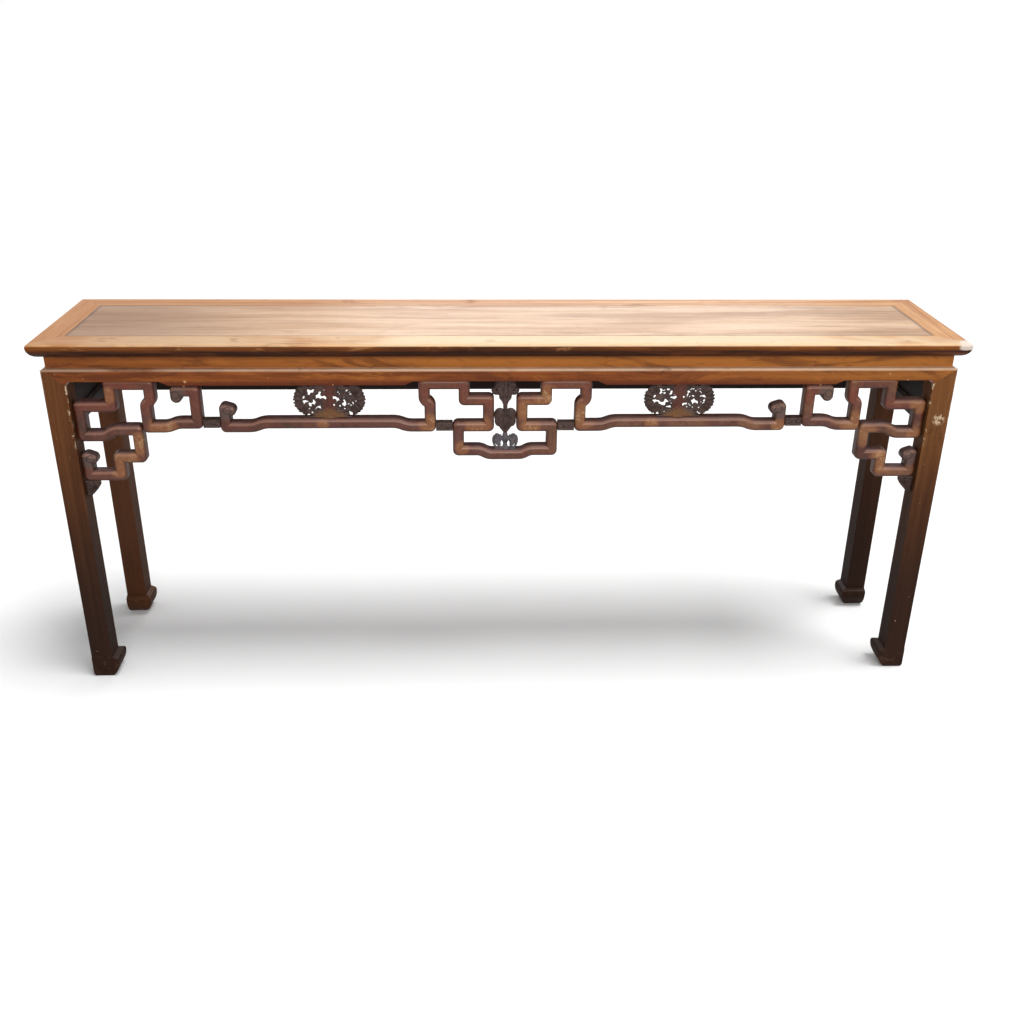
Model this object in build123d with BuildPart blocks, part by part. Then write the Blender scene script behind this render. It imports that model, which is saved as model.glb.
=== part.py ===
"""Long narrow altar table of Chinese form: a mitred frame-and-panel top, a recessed waist, aprons
mitred into four straight legs with inward hoof feet, and a mitred fret frieze with carved blossoms.

Millimetres, +X along the length, +Y to the back, +Z up, origin on the floor under the centre.
"""
from build123d import *
import os

# ---- overall ----
LENGTH = 2110.0
DEPTH = 400.0
HEIGHT = 870.0

# ---- top frame and its floating panel ----
TOP_THICK = 34.0
RAIL_WIDE = 66.0
TOP_ROUND = 8.0          # radius of the upper arris of the frame
MOULD_IN = 22.0          # how far the rounded underside of the moulding runs in
PANEL_THICK = 18.0
BOARD_COUNT = 3
TONGUE_THICK = 6.0       # tongues on the boards' ends and edges
TONGUE_LONG = 7.0
TONGUE_ABOVE = 8.0       # wood left above each tongue
BATTEN_COUNT = 4
BATTEN_WIDE = 34.0
BATTEN_HIGH = 14.0
DOVETAIL_HIGH = 5.0
DOVETAIL_ROOT = 20.0
DOVETAIL_FLARE = 2.0     # each side
BATTEN_TENON_LONG = 14.0
BATTEN_TENON_HIGH = 8.0
MITRE_TENON_FROM = 18.0  # from the outer edge of the frame
MITRE_TENON_WIDE = 16.0
MITRE_TENON_THICK = 9.0
MITRE_TENON_LIFT = 10.0  # above the underside of the frame
MITRE_TENON_NOSE = 13.0

# ---- legs ----
LEG_SIDE = 52.0
LEG_INSET_X = 19.0       # outer face of the leg behind the end of the top
LEG_INSET_Y = 13.0
LEG_ARRIS = 3.0
LEG_TENON_SIDE = 18.0
LEG_TENON_HIGH = 14.0
HOOF_HIGH = 54.0
HOOF_OUT = 14.0          # how far the hoof turns in past the leg's inner faces
HOOF_LEDGE = 7.0
HOOF_TUCK = 5.0          # the foot's base is this much narrower than the leg
HOOF_HEEL = 2.5

# ---- waist and aprons ----
WAIST_HIGH = 27.0
WAIST_IN = 10.0
WAIST_TONGUE = 5.0
APRON_THICK = 26.0
APRON_HIGH = 38.0
APRON_ROUND = 7.0
APRON_LIFT = 9.0         # the raised stretches of the front apron's lower edge
APRON_COVE = 10.0        # curve from the apron down into the leg
LIFT_MIDDLE = 210.0      # half length of the raised stretch at the centre
LIFT_FROM_LEG = 207.0    # length of the raised stretch beside each leg
LIFT_RUN = 19.0

# ---- stretchers and frieze boards at the back and the ends ----
STRETCHER_DROP = 89.0    # its top below the aprons' lowest edge
STRETCHER_HIGH = 38.0
STRETCHER_DEEP = 26.0
STRETCHER_IN = 12.0
STRETCHER_ROUND = 6.0
STRETCHER_TENON_LONG = 16.0
STRETCHER_TENON_THICK = 10.0
STRETCHER_TENON_EDGE = 6.0
FRIEZE_BOARD_THICK = 8.0
FRIEZE_BOARD_IN = 21.0
FRIEZE_TONGUE = 5.0
SLOT_LONG = 46.0         # pierced slots in the end boards
SLOT_HIGH = 10.0
SLOT_OFF = 62.0
SLOT_LIFT = 18.0

# ---- frets ----
BAR = 26.0               # width of a fret bar in the plane of the frieze
BAR_DEEP = 28.0
BAR_ROUND = 10.0
FRET_IN = 12.0           # front of the frets behind the front of the legs
BEND_SHARE = 0.46        # of a step's sloping length, taken by each of its two bends
SPLINE_LONG = 16.0
SPLINE_WIDE = 12.0
SPLINE_THICK = 6.0
DOWEL_R = 3.0
DOWEL_LONG = 18.0

# upright bars of the corner frets, as distances from the leg's inner face
CORNER_POST_FROM_LEG = 87.0
STEPPED_POST_FROM_LEG = 164.0
HOOK_TIP_FROM_LEG = 235.0
HOOK_POST_FROM_LEG = 277.0
CURL_POST_FROM_LEG = 341.5
CURL_TIP_FROM_LEG = 354.0
STEPPED_POST_SHIFT = 12.0
# upright bars of the middle fret, as distances from the middle of the table
CENTRE_POST_X = 173.5
CENTRE_POST_SHIFT = 13.0
PENDANT_POST_X = 109.0
INNER_POST_X = 94.5
HEART_POST_X = 38.7
# level bars and tips, as distances below the front apron's lowest edge
HOOK_DROP = 20.0
HOOK_TIP_DROP = 35.0
HEART_TOP_DROP = 43.0
CORNER_2_DROP = 56.5
CURL_DROP = 63.0
CURL_TIP_DROP = 67.0
MAIN_DROP = 98.0
CORNER_3_DROP = 128.0
PENDANT_DROP = 167.5
LOW_CURL_DROP = 181.0
LOW_CURL_TIP_DROP = 185.0
LOW_CURL_REACH = 11.0
CORNER_4_DROP = 181.5
CORNER_5_DROP = 226.5
# steps along the bars
MAIN_STEP = 9.2
CORNER_3_LIFT = 14.0
POST_STEP_DROP = 52.0
POST_STEP_RUN = 9.0
CORNER_STEP_FROM_LEG = 85.0
CORNER_STEP_RUN = 20.0
OUTER_STEP_FROM_LEG = 231.0
STEP_RUN = 22.0
LONG_STEP_FROM_LEG = 428.0
LONG_STEP_IN_X = 250.0
LONG_STEP_RUN = 23.0
PENDANT_STEP = 10.0
PENDANT_FLAT = 40.0
PENDANT_RUN = 17.0

# ---- carved pieces ----
LINK_HIGH = 19.0
LINK_IN = 3.0
ROUNDEL_WIDE = 168.0
ROUNDEL_THICK = 14.0
CARVING_IN = 3.0         # carvings stand behind the front of the frets
PETAL_R = 6.0
BAT_WIDE = 66.0
CLOUD_WIDE = 58.0
KNOT_WIDE = 30.0
BAT_DROP = 28.0          # where one hanging carving meets the next, below the apron
PEACH_DROP = 63.0
PEACH_FOOT_DROP = 123.0
BRACKET_WIDE = 36.0
BRACKET_HIGH = 40.0
BRACKET_THICK = 16.0

# ---- clearances ----
FIT = 0.2                # round a tongue or tenon
SHRINK = 0.6             # room for the floating panel to move

# ---- places that follow from the sizes above ----
HALF_X, HALF_Y = LENGTH / 2, DEPTH / 2
TOP_UNDER = HEIGHT - TOP_THICK
APRON_TOP = TOP_UNDER - WAIST_HIGH
APRON_FOOT = APRON_TOP - APRON_HIGH
APRON_RAISED = APRON_FOOT + APRON_LIFT
LEG_X, LEG_Y = HALF_X - LEG_INSET_X, HALF_Y - LEG_INSET_Y
LEG_IN_X, LEG_IN_Y = LEG_X - LEG_SIDE, LEG_Y - LEG_SIDE
MITRE_FOOT = APRON_RAISED - APRON_COVE
STRETCHER_TOP = APRON_FOOT - STRETCHER_DROP
STRETCHER_UNDER = STRETCHER_TOP - STRETCHER_HIGH
LIFT_CORNER = LEG_IN_X - LIFT_FROM_LEG
FRET_FRONT = -LEG_Y + FRET_IN
FRET_MID = FRET_FRONT + BAR_DEEP / 2
FRET_TOP_Z = APRON_RAISED - BAR / 2
HOOK_Z, HOOK_TIP_Z = APRON_FOOT - HOOK_DROP, APRON_FOOT - HOOK_TIP_DROP
CURL_Z, CURL_TIP_Z = APRON_FOOT - CURL_DROP, APRON_FOOT - CURL_TIP_DROP
LOW_CURL_Z, LOW_CURL_TIP_Z = APRON_FOOT - LOW_CURL_DROP, APRON_FOOT - LOW_CURL_TIP_DROP
POST_STEP_Z = APRON_FOOT - POST_STEP_DROP
CORNER_2_Z = APRON_FOOT - CORNER_2_DROP
CORNER_3_Z = APRON_FOOT - CORNER_3_DROP
CORNER_4_Z = APRON_FOOT - CORNER_4_DROP
CORNER_5_Z = APRON_FOOT - CORNER_5_DROP
HEART_TOP_Z = APRON_FOOT - HEART_TOP_DROP
MAIN_Z = APRON_FOOT - MAIN_DROP
LOWER_Z = MAIN_Z - MAIN_STEP
PENDANT_Z = APRON_FOOT - PENDANT_DROP
WALL_POST_X = LEG_IN_X - BAR / 2
CORNER_POST_X = LEG_IN_X - CORNER_POST_FROM_LEG
STEPPED_POST_X = LEG_IN_X - STEPPED_POST_FROM_LEG
LOWER_POST_X = STEPPED_POST_X + BAR
HOOK_TIP_X, HOOK_POST_X = LEG_IN_X - HOOK_TIP_FROM_LEG, LEG_IN_X - HOOK_POST_FROM_LEG
CURL_TIP_X, CURL_POST_X = LEG_IN_X - CURL_TIP_FROM_LEG, LEG_IN_X - CURL_POST_FROM_LEG
CORNER_STEP_X = LEG_IN_X - CORNER_STEP_FROM_LEG
OUTER_STEP_X = LEG_IN_X - OUTER_STEP_FROM_LEG
LONG_STEP_OUT_X = LEG_IN_X - LONG_STEP_FROM_LEG
ROUNDEL_X = (LONG_STEP_IN_X + LONG_STEP_OUT_X) / 2
BAT_FOOT = APRON_FOOT - BAT_DROP
HEART_HEAD, HEART_FOOT = APRON_FOOT - PEACH_DROP, APRON_FOOT - PEACH_FOOT_DROP
DOWEL_Y = (FRET_FRONT - LEG_Y + APRON_THICK) / 2
BACK_DOWEL_Y = FRET_MID + SPLINE_THICK / 2 + DOWEL_R + 1
PANEL_X, PANEL_Y = HALF_X - RAIL_WIDE, HALF_Y - RAIL_WIDE
PANEL_UNDER = HEIGHT - PANEL_THICK
TONGUE_TOP = HEIGHT - TONGUE_ABOVE


# ---------------------------------------------------------------- helpers
def box_between(low, high, grow=0.0):
    """A free box between two corners, grown on every side."""
    sizes = [h - l + 2 * grow for l, h in zip(low, high)]
    middle = [(l + h) / 2 for l, h in zip(low, high)]
    return Pos(*middle) * Box(*sizes, mode=Mode.PRIVATE)


def corner_mitre(x, y):
    """Upright plane at 45 degrees through the right front corner (x, y); +z points to the end."""
    return Plane(origin=(x, y, 0), z_dir=(1, 1, 0))


def mirrored(shape, plane):
    """A free mirror image, for use inside and outside a block."""
    return mirror(shape, about=plane, mode=Mode.PRIVATE)


# ---------------------------------------------------------------- top frame
def rail_section(leg_inset):
    """Frame section with its two grooves: x inward from the outer edge, y up from the underside."""
    shoulder = TOP_THICK - TOP_ROUND
    with BuildSketch() as section:
        with BuildLine():
            under = Line((RAIL_WIDE, 0), (MOULD_IN, 0))
            belly = TangentArc((0, shoulder), under @ 1, tangent=(0, -1))
            arris = TangentArc((TOP_ROUND, TOP_THICK), belly @ 0, tangent=(-1, 0))
            Polyline(arris @ 0, (RAIL_WIDE, TOP_THICK), under @ 0)
        make_face()
        with Locations((RAIL_WIDE, groove_mid)):
            Rectangle(2 * (TONGUE_LONG + 1), TONGUE_THICK + 2 * FIT, mode=Mode.SUBTRACT)
        with Locations((leg_inset + tongue_in + WAIST_TONGUE / 2, 0)):
            Rectangle(WAIST_TONGUE + 2 * FIT, 2 * (WAIST_TONGUE + FIT), mode=Mode.SUBTRACT)
    return section.sketch


groove_mid = TOP_THICK - TONGUE_ABOVE - TONGUE_THICK / 2
tenon_foot = TOP_UNDER + MITRE_TENON_LIFT
tenon_low = (HALF_X - MITRE_TENON_FROM - MITRE_TENON_WIDE, -HALF_Y + MITRE_TENON_NOSE, tenon_foot)
tenon_high = (HALF_X - MITRE_TENON_FROM, -HALF_Y + RAIL_WIDE, tenon_foot + MITRE_TENON_THICK)
mitre_tenon = box_between(tenon_low, tenon_high)
mitre_mortise = box_between(tenon_low, tenon_high, FIT)
leg_tenon_x = (LEG_X - APRON_THICK - LEG_TENON_SIDE, LEG_X - APRON_THICK)
leg_tenon_y = (-LEG_Y + APRON_THICK, -LEG_Y + APRON_THICK + LEG_TENON_SIDE)
leg_mortise = box_between((leg_tenon_x[0], leg_tenon_y[0], TOP_UNDER),
                          (leg_tenon_x[1], leg_tenon_y[1], TOP_UNDER + LEG_TENON_HIGH), FIT)
batten_places = [-PANEL_X + 2 * PANEL_X * (i + 1) / (BATTEN_COUNT + 1) for i in range(BATTEN_COUNT)]
batten_tenon_foot = HEIGHT - PANEL_THICK - (BATTEN_HIGH + BATTEN_TENON_HIGH) / 2
waist_face_x, waist_face_y = LEG_X - WAIST_IN, LEG_Y - WAIST_IN
waist_thick = APRON_THICK - WAIST_IN
tongue_in = WAIST_IN + (waist_thick - WAIST_TONGUE) / 2      # from the leg's outer face
end_waist_tongue = box_between((LEG_X - tongue_in - WAIST_TONGUE, -waist_face_y, TOP_UNDER),
                               (LEG_X - tongue_in, -PANEL_Y, TOP_UNDER + WAIST_TONGUE), FIT)


with BuildPart() as top_rail_front:
    with BuildSketch(Plane(origin=(-HALF_X, -HALF_Y, TOP_UNDER), x_dir=(0, 1, 0), z_dir=(1, 0, 0))):
        add(rail_section(LEG_INSET_Y))
    extrude(amount=LENGTH)
    split(bisect_by=corner_mitre(HALF_X, -HALF_Y), keep=Keep.BOTTOM)
    split(bisect_by=Plane(origin=(-HALF_X, -HALF_Y, 0), z_dir=(-1, 1, 0)), keep=Keep.BOTTOM)
    for cutter in (mitre_mortise, leg_mortise, end_waist_tongue):
        add(cutter, mode=Mode.SUBTRACT)
        add(mirrored(cutter, Plane.YZ), mode=Mode.SUBTRACT)
    for place in batten_places:
        add(box_between((place - BATTEN_WIDE / 2, -PANEL_Y - BATTEN_TENON_LONG, batten_tenon_foot),
                        (place + BATTEN_WIDE / 2, -PANEL_Y, batten_tenon_foot + BATTEN_TENON_HIGH), FIT),
            mode=Mode.SUBTRACT)

with BuildPart() as top_end_right:
    with BuildSketch(Plane(origin=(HALF_X, -HALF_Y, TOP_UNDER), x_dir=(-1, 0, 0), z_dir=(0, 1, 0))):
        add(rail_section(LEG_INSET_X))
    extrude(amount=DEPTH)
    split(bisect_by=corner_mitre(HALF_X, -HALF_Y), keep=Keep.TOP)
    split(bisect_by=Plane(origin=(HALF_X, HALF_Y, 0), z_dir=(1, -1, 0)), keep=Keep.TOP)
    for cutter in (leg_mortise, mirrored(leg_mortise, Plane.XZ)):
        add(cutter, mode=Mode.SUBTRACT)
    for tenon in (mitre_tenon, mirrored(mitre_tenon, Plane.XZ)):
        add(tenon)

with BuildPart() as top_rail_back:
    mirror(top_rail_front.part, about=Plane.XZ)

with BuildPart() as top_end_left:
    mirror(top_end_right.part, about=Plane.YZ)


# ---------------------------------------------------------------- floating panel
def dovetail(place, grow):
    """Sliding dovetail that stands on a batten, grown on every side for its housing."""
    root, head = DOVETAIL_ROOT / 2 + grow, DOVETAIL_ROOT / 2 + DOVETAIL_FLARE + grow
    crest = PANEL_UNDER + DOVETAIL_HIGH + grow
    with BuildPart() as tail:
        with BuildSketch(Plane.XZ.offset(-PANEL_Y)):
            with BuildLine():
                Polyline((place - root, PANEL_UNDER), (place + root, PANEL_UNDER), (place + head, crest),
                         (place - head, crest), close=True)
            make_face()
        extrude(amount=2 * PANEL_Y)
    return tail.part


def batten(place):
    """One batten across the underside, tenoned into both long rails."""
    with BuildPart() as piece:
        with BuildSketch(Plane.XZ.offset(-PANEL_Y)):
            with Locations((place, PANEL_UNDER - BATTEN_HIGH / 2)):
                Rectangle(BATTEN_WIDE, BATTEN_HIGH)
        extrude(amount=2 * PANEL_Y)
        add(dovetail(place, 0))
        with BuildSketch(Plane.XZ.offset(-PANEL_Y - BATTEN_TENON_LONG)):
            with Locations((place, batten_tenon_foot + BATTEN_TENON_HIGH / 2)):
                Rectangle(BATTEN_WIDE, BATTEN_TENON_HIGH)
        extrude(amount=2 * (PANEL_Y + BATTEN_TENON_LONG))
    return piece.part


def panel_board(index):
    """One board of the panel; it has a tongue in front, and a groove or a last tongue behind."""
    wide = 2 * (PANEL_Y - SHRINK) / BOARD_COUNT
    front = -PANEL_Y + SHRINK + index * wide
    back = front + wide
    last = index == BOARD_COUNT - 1
    end = PANEL_X - SHRINK
    with BuildPart() as piece:
        add(box_between((-end, front, PANEL_UNDER), (end, back, HEIGHT)))
        add(box_between((-end - TONGUE_LONG, front, TONGUE_TOP - TONGUE_THICK),
                        (end + TONGUE_LONG, back, TONGUE_TOP)))
        front_tongue = TONGUE_LONG if index == 0 else TONGUE_LONG - 1
        add(box_between((-end, front - front_tongue, TONGUE_TOP - TONGUE_THICK),
                        (end, front, TONGUE_TOP)))
        if last:
            add(box_between((-end, back, TONGUE_TOP - TONGUE_THICK), (end, back + TONGUE_LONG, TONGUE_TOP)))
        else:
            add(box_between((-PANEL_X - TONGUE_LONG, back - TONGUE_LONG, TONGUE_TOP - TONGUE_THICK - FIT),
                            (PANEL_X + TONGUE_LONG, back, TONGUE_TOP + FIT)), mode=Mode.SUBTRACT)
        for place in batten_places:
            add(dovetail(place, FIT), mode=Mode.SUBTRACT)
    return piece.part


# ---------------------------------------------------------------- waist
def waist_strip(face_x, face_y, along_x):
    """Strip between the aprons and the frame, with a tongue above and below, mitred at the corners."""
    long = face_x if along_x else face_y
    face = face_y if along_x else face_x
    with BuildPart() as strip:
        with BuildSketch(Plane(origin=(-long, -face, APRON_TOP), x_dir=(0, 1, 0), z_dir=(1, 0, 0))):
            with Locations((waist_thick / 2, WAIST_HIGH / 2)):
                Rectangle(waist_thick, WAIST_HIGH)
                Rectangle(WAIST_TONGUE, WAIST_HIGH + 2 * WAIST_TONGUE)
        extrude(amount=2 * long)
        split(bisect_by=corner_mitre(long, -face), keep=Keep.BOTTOM)
        split(bisect_by=Plane(origin=(-long, -face, 0), z_dir=(-1, 1, 0)), keep=Keep.BOTTOM)
    return strip.part if along_x else strip.part.rotate(Axis.Z, 90)


waist_front = waist_strip(waist_face_x, waist_face_y, True)
waist_right = waist_strip(waist_face_x, waist_face_y, False)


# ---------------------------------------------------------------- aprons
def apron_outline(long, inner, steps):
    """Front outline: mitred ends, coves into the legs, and steps along the lower edge."""
    cove_end = (inner - APRON_COVE, APRON_RAISED)
    with BuildSketch() as outline:
        with BuildLine():
            Polyline((-inner, MITRE_FOOT), (-long, APRON_TOP), (long, APRON_TOP), (inner, MITRE_FOOT))
            TangentArc((inner, MITRE_FOOT), cove_end, tangent=(0, 1))
            Polyline(cove_end, *steps, (-cove_end[0], APRON_RAISED))
            TangentArc((-inner, MITRE_FOOT), (-cove_end[0], APRON_RAISED), tangent=(0, 1))
        make_face()
    return outline.sketch


def apron(long, inner, face, steps=(), board_groove=True):
    """Apron between two legs, mitred to them and to its neighbours, with its grooves."""
    with BuildPart() as piece:
        end = Plane(origin=(-long, -face, APRON_FOOT), x_dir=(0, 1, 0), z_dir=(1, 0, 0))
        with BuildSketch(end) as section:
            with Locations((APRON_THICK / 2, APRON_HIGH / 2)):
                Rectangle(APRON_THICK, APRON_HIGH)
            fillet(section.vertices().group_by(Axis.X)[0].sort_by(Axis.Y)[-1], APRON_ROUND)
            with Locations((tongue_in + WAIST_TONGUE / 2, APRON_HIGH)):
                Rectangle(WAIST_TONGUE + 2 * FIT, 2 * (WAIST_TONGUE + FIT), mode=Mode.SUBTRACT)
        extrude(amount=2 * long)
        with BuildSketch(Plane.XZ.offset(face)):
            add(apron_outline(long, inner, steps))
        extrude(amount=-APRON_THICK, mode=Mode.INTERSECT)
        split(bisect_by=corner_mitre(long, -face), keep=Keep.BOTTOM)
        split(bisect_by=Plane(origin=(-long, -face, 0), z_dir=(-1, 1, 0)), keep=Keep.BOTTOM)
        if board_groove:
            add(frieze_board_blank(inner, face, FIT), mode=Mode.SUBTRACT)
    return piece.part


def frieze_board_blank(inner, face, grow=0.0):
    """The thin board between a stretcher and an apron, with its tongues, grown for its grooves."""
    front = -face + FRIEZE_BOARD_IN
    return box_between((-inner - FRIEZE_TONGUE, front, STRETCHER_TOP - FRIEZE_TONGUE),
                       (inner + FRIEZE_TONGUE, front + FRIEZE_BOARD_THICK, APRON_RAISED + FRIEZE_TONGUE),
                       grow)


front_steps = [(LIFT_CORNER, APRON_RAISED), (LIFT_CORNER - LIFT_RUN, APRON_FOOT),
               (LIFT_MIDDLE + LIFT_RUN, APRON_FOOT), (LIFT_MIDDLE, APRON_RAISED)]
front_edge = front_steps + [(-x, z) for x, z in reversed(front_steps)]
apron_front = apron(LEG_X, LEG_IN_X, LEG_Y, front_edge, board_groove=False)
apron_back = apron(LEG_X, LEG_IN_X, LEG_Y).rotate(Axis.Z, 180)
apron_right = apron(LEG_Y, LEG_IN_Y, LEG_X).rotate(Axis.Z, 90)


# ---------------------------------------------------------------- stretchers and frieze boards
def stretcher_tenons(inner, face, grow=0.0):
    """One long tenon through the stretcher, which also cuts the mortises in both legs."""
    front = -face + STRETCHER_IN + STRETCHER_TENON_EDGE
    return box_between((-inner - STRETCHER_TENON_LONG, front, STRETCHER_UNDER + STRETCHER_TENON_EDGE),
                       (inner + STRETCHER_TENON_LONG, front + STRETCHER_TENON_THICK,
                        STRETCHER_TOP - 2 * STRETCHER_TENON_EDGE), grow)


def stretcher(inner, face):
    """Stretcher between two legs, tenoned into both and grooved above for the frieze board."""
    with BuildPart() as bar:
        with BuildSketch(Plane(origin=(-inner, -face + STRETCHER_IN, STRETCHER_UNDER),
                               x_dir=(0, 1, 0), z_dir=(1, 0, 0))) as section:
            with Locations((STRETCHER_DEEP / 2, STRETCHER_HIGH / 2)):
                Rectangle(STRETCHER_DEEP, STRETCHER_HIGH)
            fillet(section.vertices(), STRETCHER_ROUND)
        extrude(amount=2 * inner)
        add(stretcher_tenons(inner, face))
        add(frieze_board_blank(inner, face, FIT), mode=Mode.SUBTRACT)
    return bar.part


def frieze_board(inner, face, slots=()):
    """Thin board in the grooves of a stretcher, an apron and two legs, pierced by slots."""
    with BuildPart() as board:
        add(frieze_board_blank(inner, face))
        for slot in slots:
            with BuildSketch(Plane.XZ.offset(face)):
                with Locations((slot, STRETCHER_TOP + SLOT_LIFT)):
                    SlotOverall(SLOT_LONG, SLOT_HIGH)
            extrude(amount=-APRON_THICK, mode=Mode.SUBTRACT)
    return board.part


stretcher_back = stretcher(LEG_IN_X, LEG_Y).rotate(Axis.Z, 180)
stretcher_right = stretcher(LEG_IN_Y, LEG_X).rotate(Axis.Z, 90)
frieze_board_back = frieze_board(LEG_IN_X, LEG_Y).rotate(Axis.Z, 180)
frieze_board_right = frieze_board(LEG_IN_Y, LEG_X, (-SLOT_OFF, SLOT_OFF)).rotate(Axis.Z, 90)


# ---------------------------------------------------------------- legs
def hoof_profile():
    """Foot in side view: x inward from the leg's outer face, y up from the floor."""
    cheek = LEG_SIDE + HOOF_OUT
    with BuildSketch() as profile:
        with BuildLine():
            heel = Line((HOOF_HEEL, 0), (0, HOOF_LEDGE))
            Polyline((0, HOOF_LEDGE), (0, HOOF_HIGH), (LEG_SIDE, HOOF_HIGH))
            ledge = Line((LEG_SIDE, HOOF_HIGH), (cheek - HOOF_HEEL * 2, HOOF_HIGH - HOOF_LEDGE / 2))
            lip = ThreePointArc(ledge @ 1, (cheek - HOOF_HEEL / 2, HOOF_HIGH - HOOF_LEDGE),
                                (cheek, HOOF_HIGH - HOOF_LEDGE * 2))
            TangentArc(lip @ 1, (LEG_SIDE - HOOF_TUCK, 0), tangent=(0, -1))
            Line((LEG_SIDE - HOOF_TUCK, 0), heel @ 0)
        make_face()
    return profile.sketch


def front_skin_wedge():
    """What the front apron's mitred end takes off the right front leg."""
    with BuildPart() as wedge:
        with BuildSketch(Plane.XZ.offset(LEG_Y)):
            with BuildLine():
                Polyline((LEG_IN_X, MITRE_FOOT), (LEG_X, APRON_TOP), (LEG_X, TOP_UNDER),
                         (LEG_IN_X, TOP_UNDER), close=True)
            make_face()
        extrude(amount=-APRON_THICK)
    return wedge.part


def side_skin_wedge():
    """What the end apron's mitred end takes off the right front leg."""
    with BuildPart() as wedge:
        with BuildSketch(Plane.YZ.offset(LEG_X)):
            with BuildLine():
                Polyline((-LEG_IN_Y, MITRE_FOOT), (-LEG_Y, APRON_TOP), (-LEG_Y, TOP_UNDER),
                         (-LEG_IN_Y, TOP_UNDER), close=True)
            make_face()
        extrude(amount=-APRON_THICK)
    return wedge.part


with BuildPart() as bare_leg:
    with BuildSketch(Plane(origin=(LEG_X, -LEG_Y, 0), x_dir=(-1, 0, 0), z_dir=(0, 1, 0))):
        add(hoof_profile())
    extrude(amount=LEG_SIDE + HOOF_OUT)
    with BuildSketch(Plane(origin=(LEG_X, -LEG_Y, 0), x_dir=(0, 1, 0), z_dir=(1, 0, 0))):
        add(hoof_profile())
    extrude(amount=-LEG_SIDE - HOOF_OUT, mode=Mode.INTERSECT)
    with BuildSketch(Plane.XY.offset(HOOF_HIGH)) as post:
        with Locations((LEG_X - LEG_SIDE / 2, -LEG_Y + LEG_SIDE / 2)):
            Rectangle(LEG_SIDE, LEG_SIDE)
        fillet(post.vertices().group_by(Axis.Y)[0].sort_by(Axis.X)[-1], LEG_ARRIS)
    extrude(amount=TOP_UNDER - HOOF_HIGH)
    with BuildSketch(Plane.XY.offset(TOP_UNDER)):
        with Locations(((leg_tenon_x[0] + leg_tenon_x[1]) / 2, (leg_tenon_y[0] + leg_tenon_y[1]) / 2)):
            Rectangle(LEG_TENON_SIDE, LEG_TENON_SIDE)
    extrude(amount=LEG_TENON_HIGH)
    for taken in (front_skin_wedge(), side_skin_wedge()):
        add(taken, mode=Mode.SUBTRACT)


# ---------------------------------------------------------------- fret bars
def bar_section():
    """Fret bar section: x to the back from the face of the frieze, rounded in front."""
    with BuildSketch() as section:
        with Locations((BAR_DEEP / 2, 0)):
            Rectangle(BAR_DEEP, BAR)
        fillet(section.vertices().group_by(Axis.X)[0], BAR_ROUND)
    return section.sketch


def at(point):
    """Place of a fret point (x, z) on the face of the frieze."""
    return Vector(point[0], FRET_FRONT, point[1])


def heading(start, end):
    return (at(end) - at(start)).normalized()


def turned(point, outer, toward, arc):
    """The bar's outer half, turned about the point from its outer side towards a direction."""
    plane = Plane(origin=at(point), x_dir=(0, 1, 0), z_dir=toward)
    side = BAR / 4 if outer.dot(plane.y_dir) > 0 else -BAR / 4
    with BuildPart() as knob:
        with BuildSketch(plane):
            add(bar_section())
            with Locations((BAR_DEEP / 2, side)):
                Rectangle(BAR_DEEP, BAR / 2, mode=Mode.INTERSECT)
        revolve(axis=Axis(at(point), outer.cross(toward)), revolution_arc=arc)
    return knob.part


def elbow(before, point, after, share=1.0):
    """Round outside of the elbow at a point, or the share of it that belongs to one bar."""
    along, onward = heading(before, point), heading(point, after)
    outer = (along * along.dot(onward) - onward).normalized()
    return turned(point, outer, along, along.get_angle(onward) * share)


def round_end(point, inward):
    toward = heading(inward, point)
    return turned(point, toward.cross(Vector(0, 1, 0)), toward, 180)


def bend(before, corner, after):
    """Where a bar's centre line starts and ends its smooth bend at a step."""
    along, onward = heading(before, corner), heading(corner, after)
    shorter = min((at(corner) - at(before)).length, (at(after) - at(corner)).length)
    return at(corner) - along * shorter * BEND_SHARE, at(corner) + onward * shorter * BEND_SHARE, along


def bar_along(points):
    """Bar swept along a route, bending smoothly at its steps, with square ends."""
    with BuildPart() as bar:
        with BuildLine():
            start = at(points[0])
            for before, corner, after in zip(points, points[1:], points[2:]):
                bend_from, bend_to, along = bend(before, corner, after)
                Line(start, bend_from)
                TangentArc(bend_from, bend_to, tangent=along)
                start = bend_to
            Line(start, at(points[-1]))
        with BuildSketch(Plane(origin=at(points[0]), x_dir=(0, 1, 0), z_dir=heading(*points[:2]))):
            add(bar_section())
        sweep()
    return bar.part


def stick(route, before=None, after=None, curled=False):
    """One fret bar along a route of (x, z) points, in one piece.

    before and after are the neighbouring points past its ends: there it has its half of a round
    elbow, cut in the mitre. A curled bar turns its own elbows and starts with a round end.
    """
    with BuildPart() as piece:
        for part_route in zip(route, route[1:]) if curled else (route,):
            add(bar_along(part_route))
        if before:
            mitre = heading(before, route[0]) + heading(*route[:2])
            split(bisect_by=Plane(origin=at(route[0]), z_dir=mitre), keep=Keep.TOP)
            add(elbow(route[1], route[0], before, 0.5))
        if after:
            mitre = heading(*route[-2:]) + heading(route[-1], after)
            split(bisect_by=Plane(origin=at(route[-1]), z_dir=mitre), keep=Keep.BOTTOM)
            add(elbow(route[-2], route[-1], after, 0.5))
        if curled:
            add(round_end(*route[:2]))
            for corner in zip(route, route[1:], route[2:]):
                add(elbow(*corner))
    return piece.part


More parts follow.
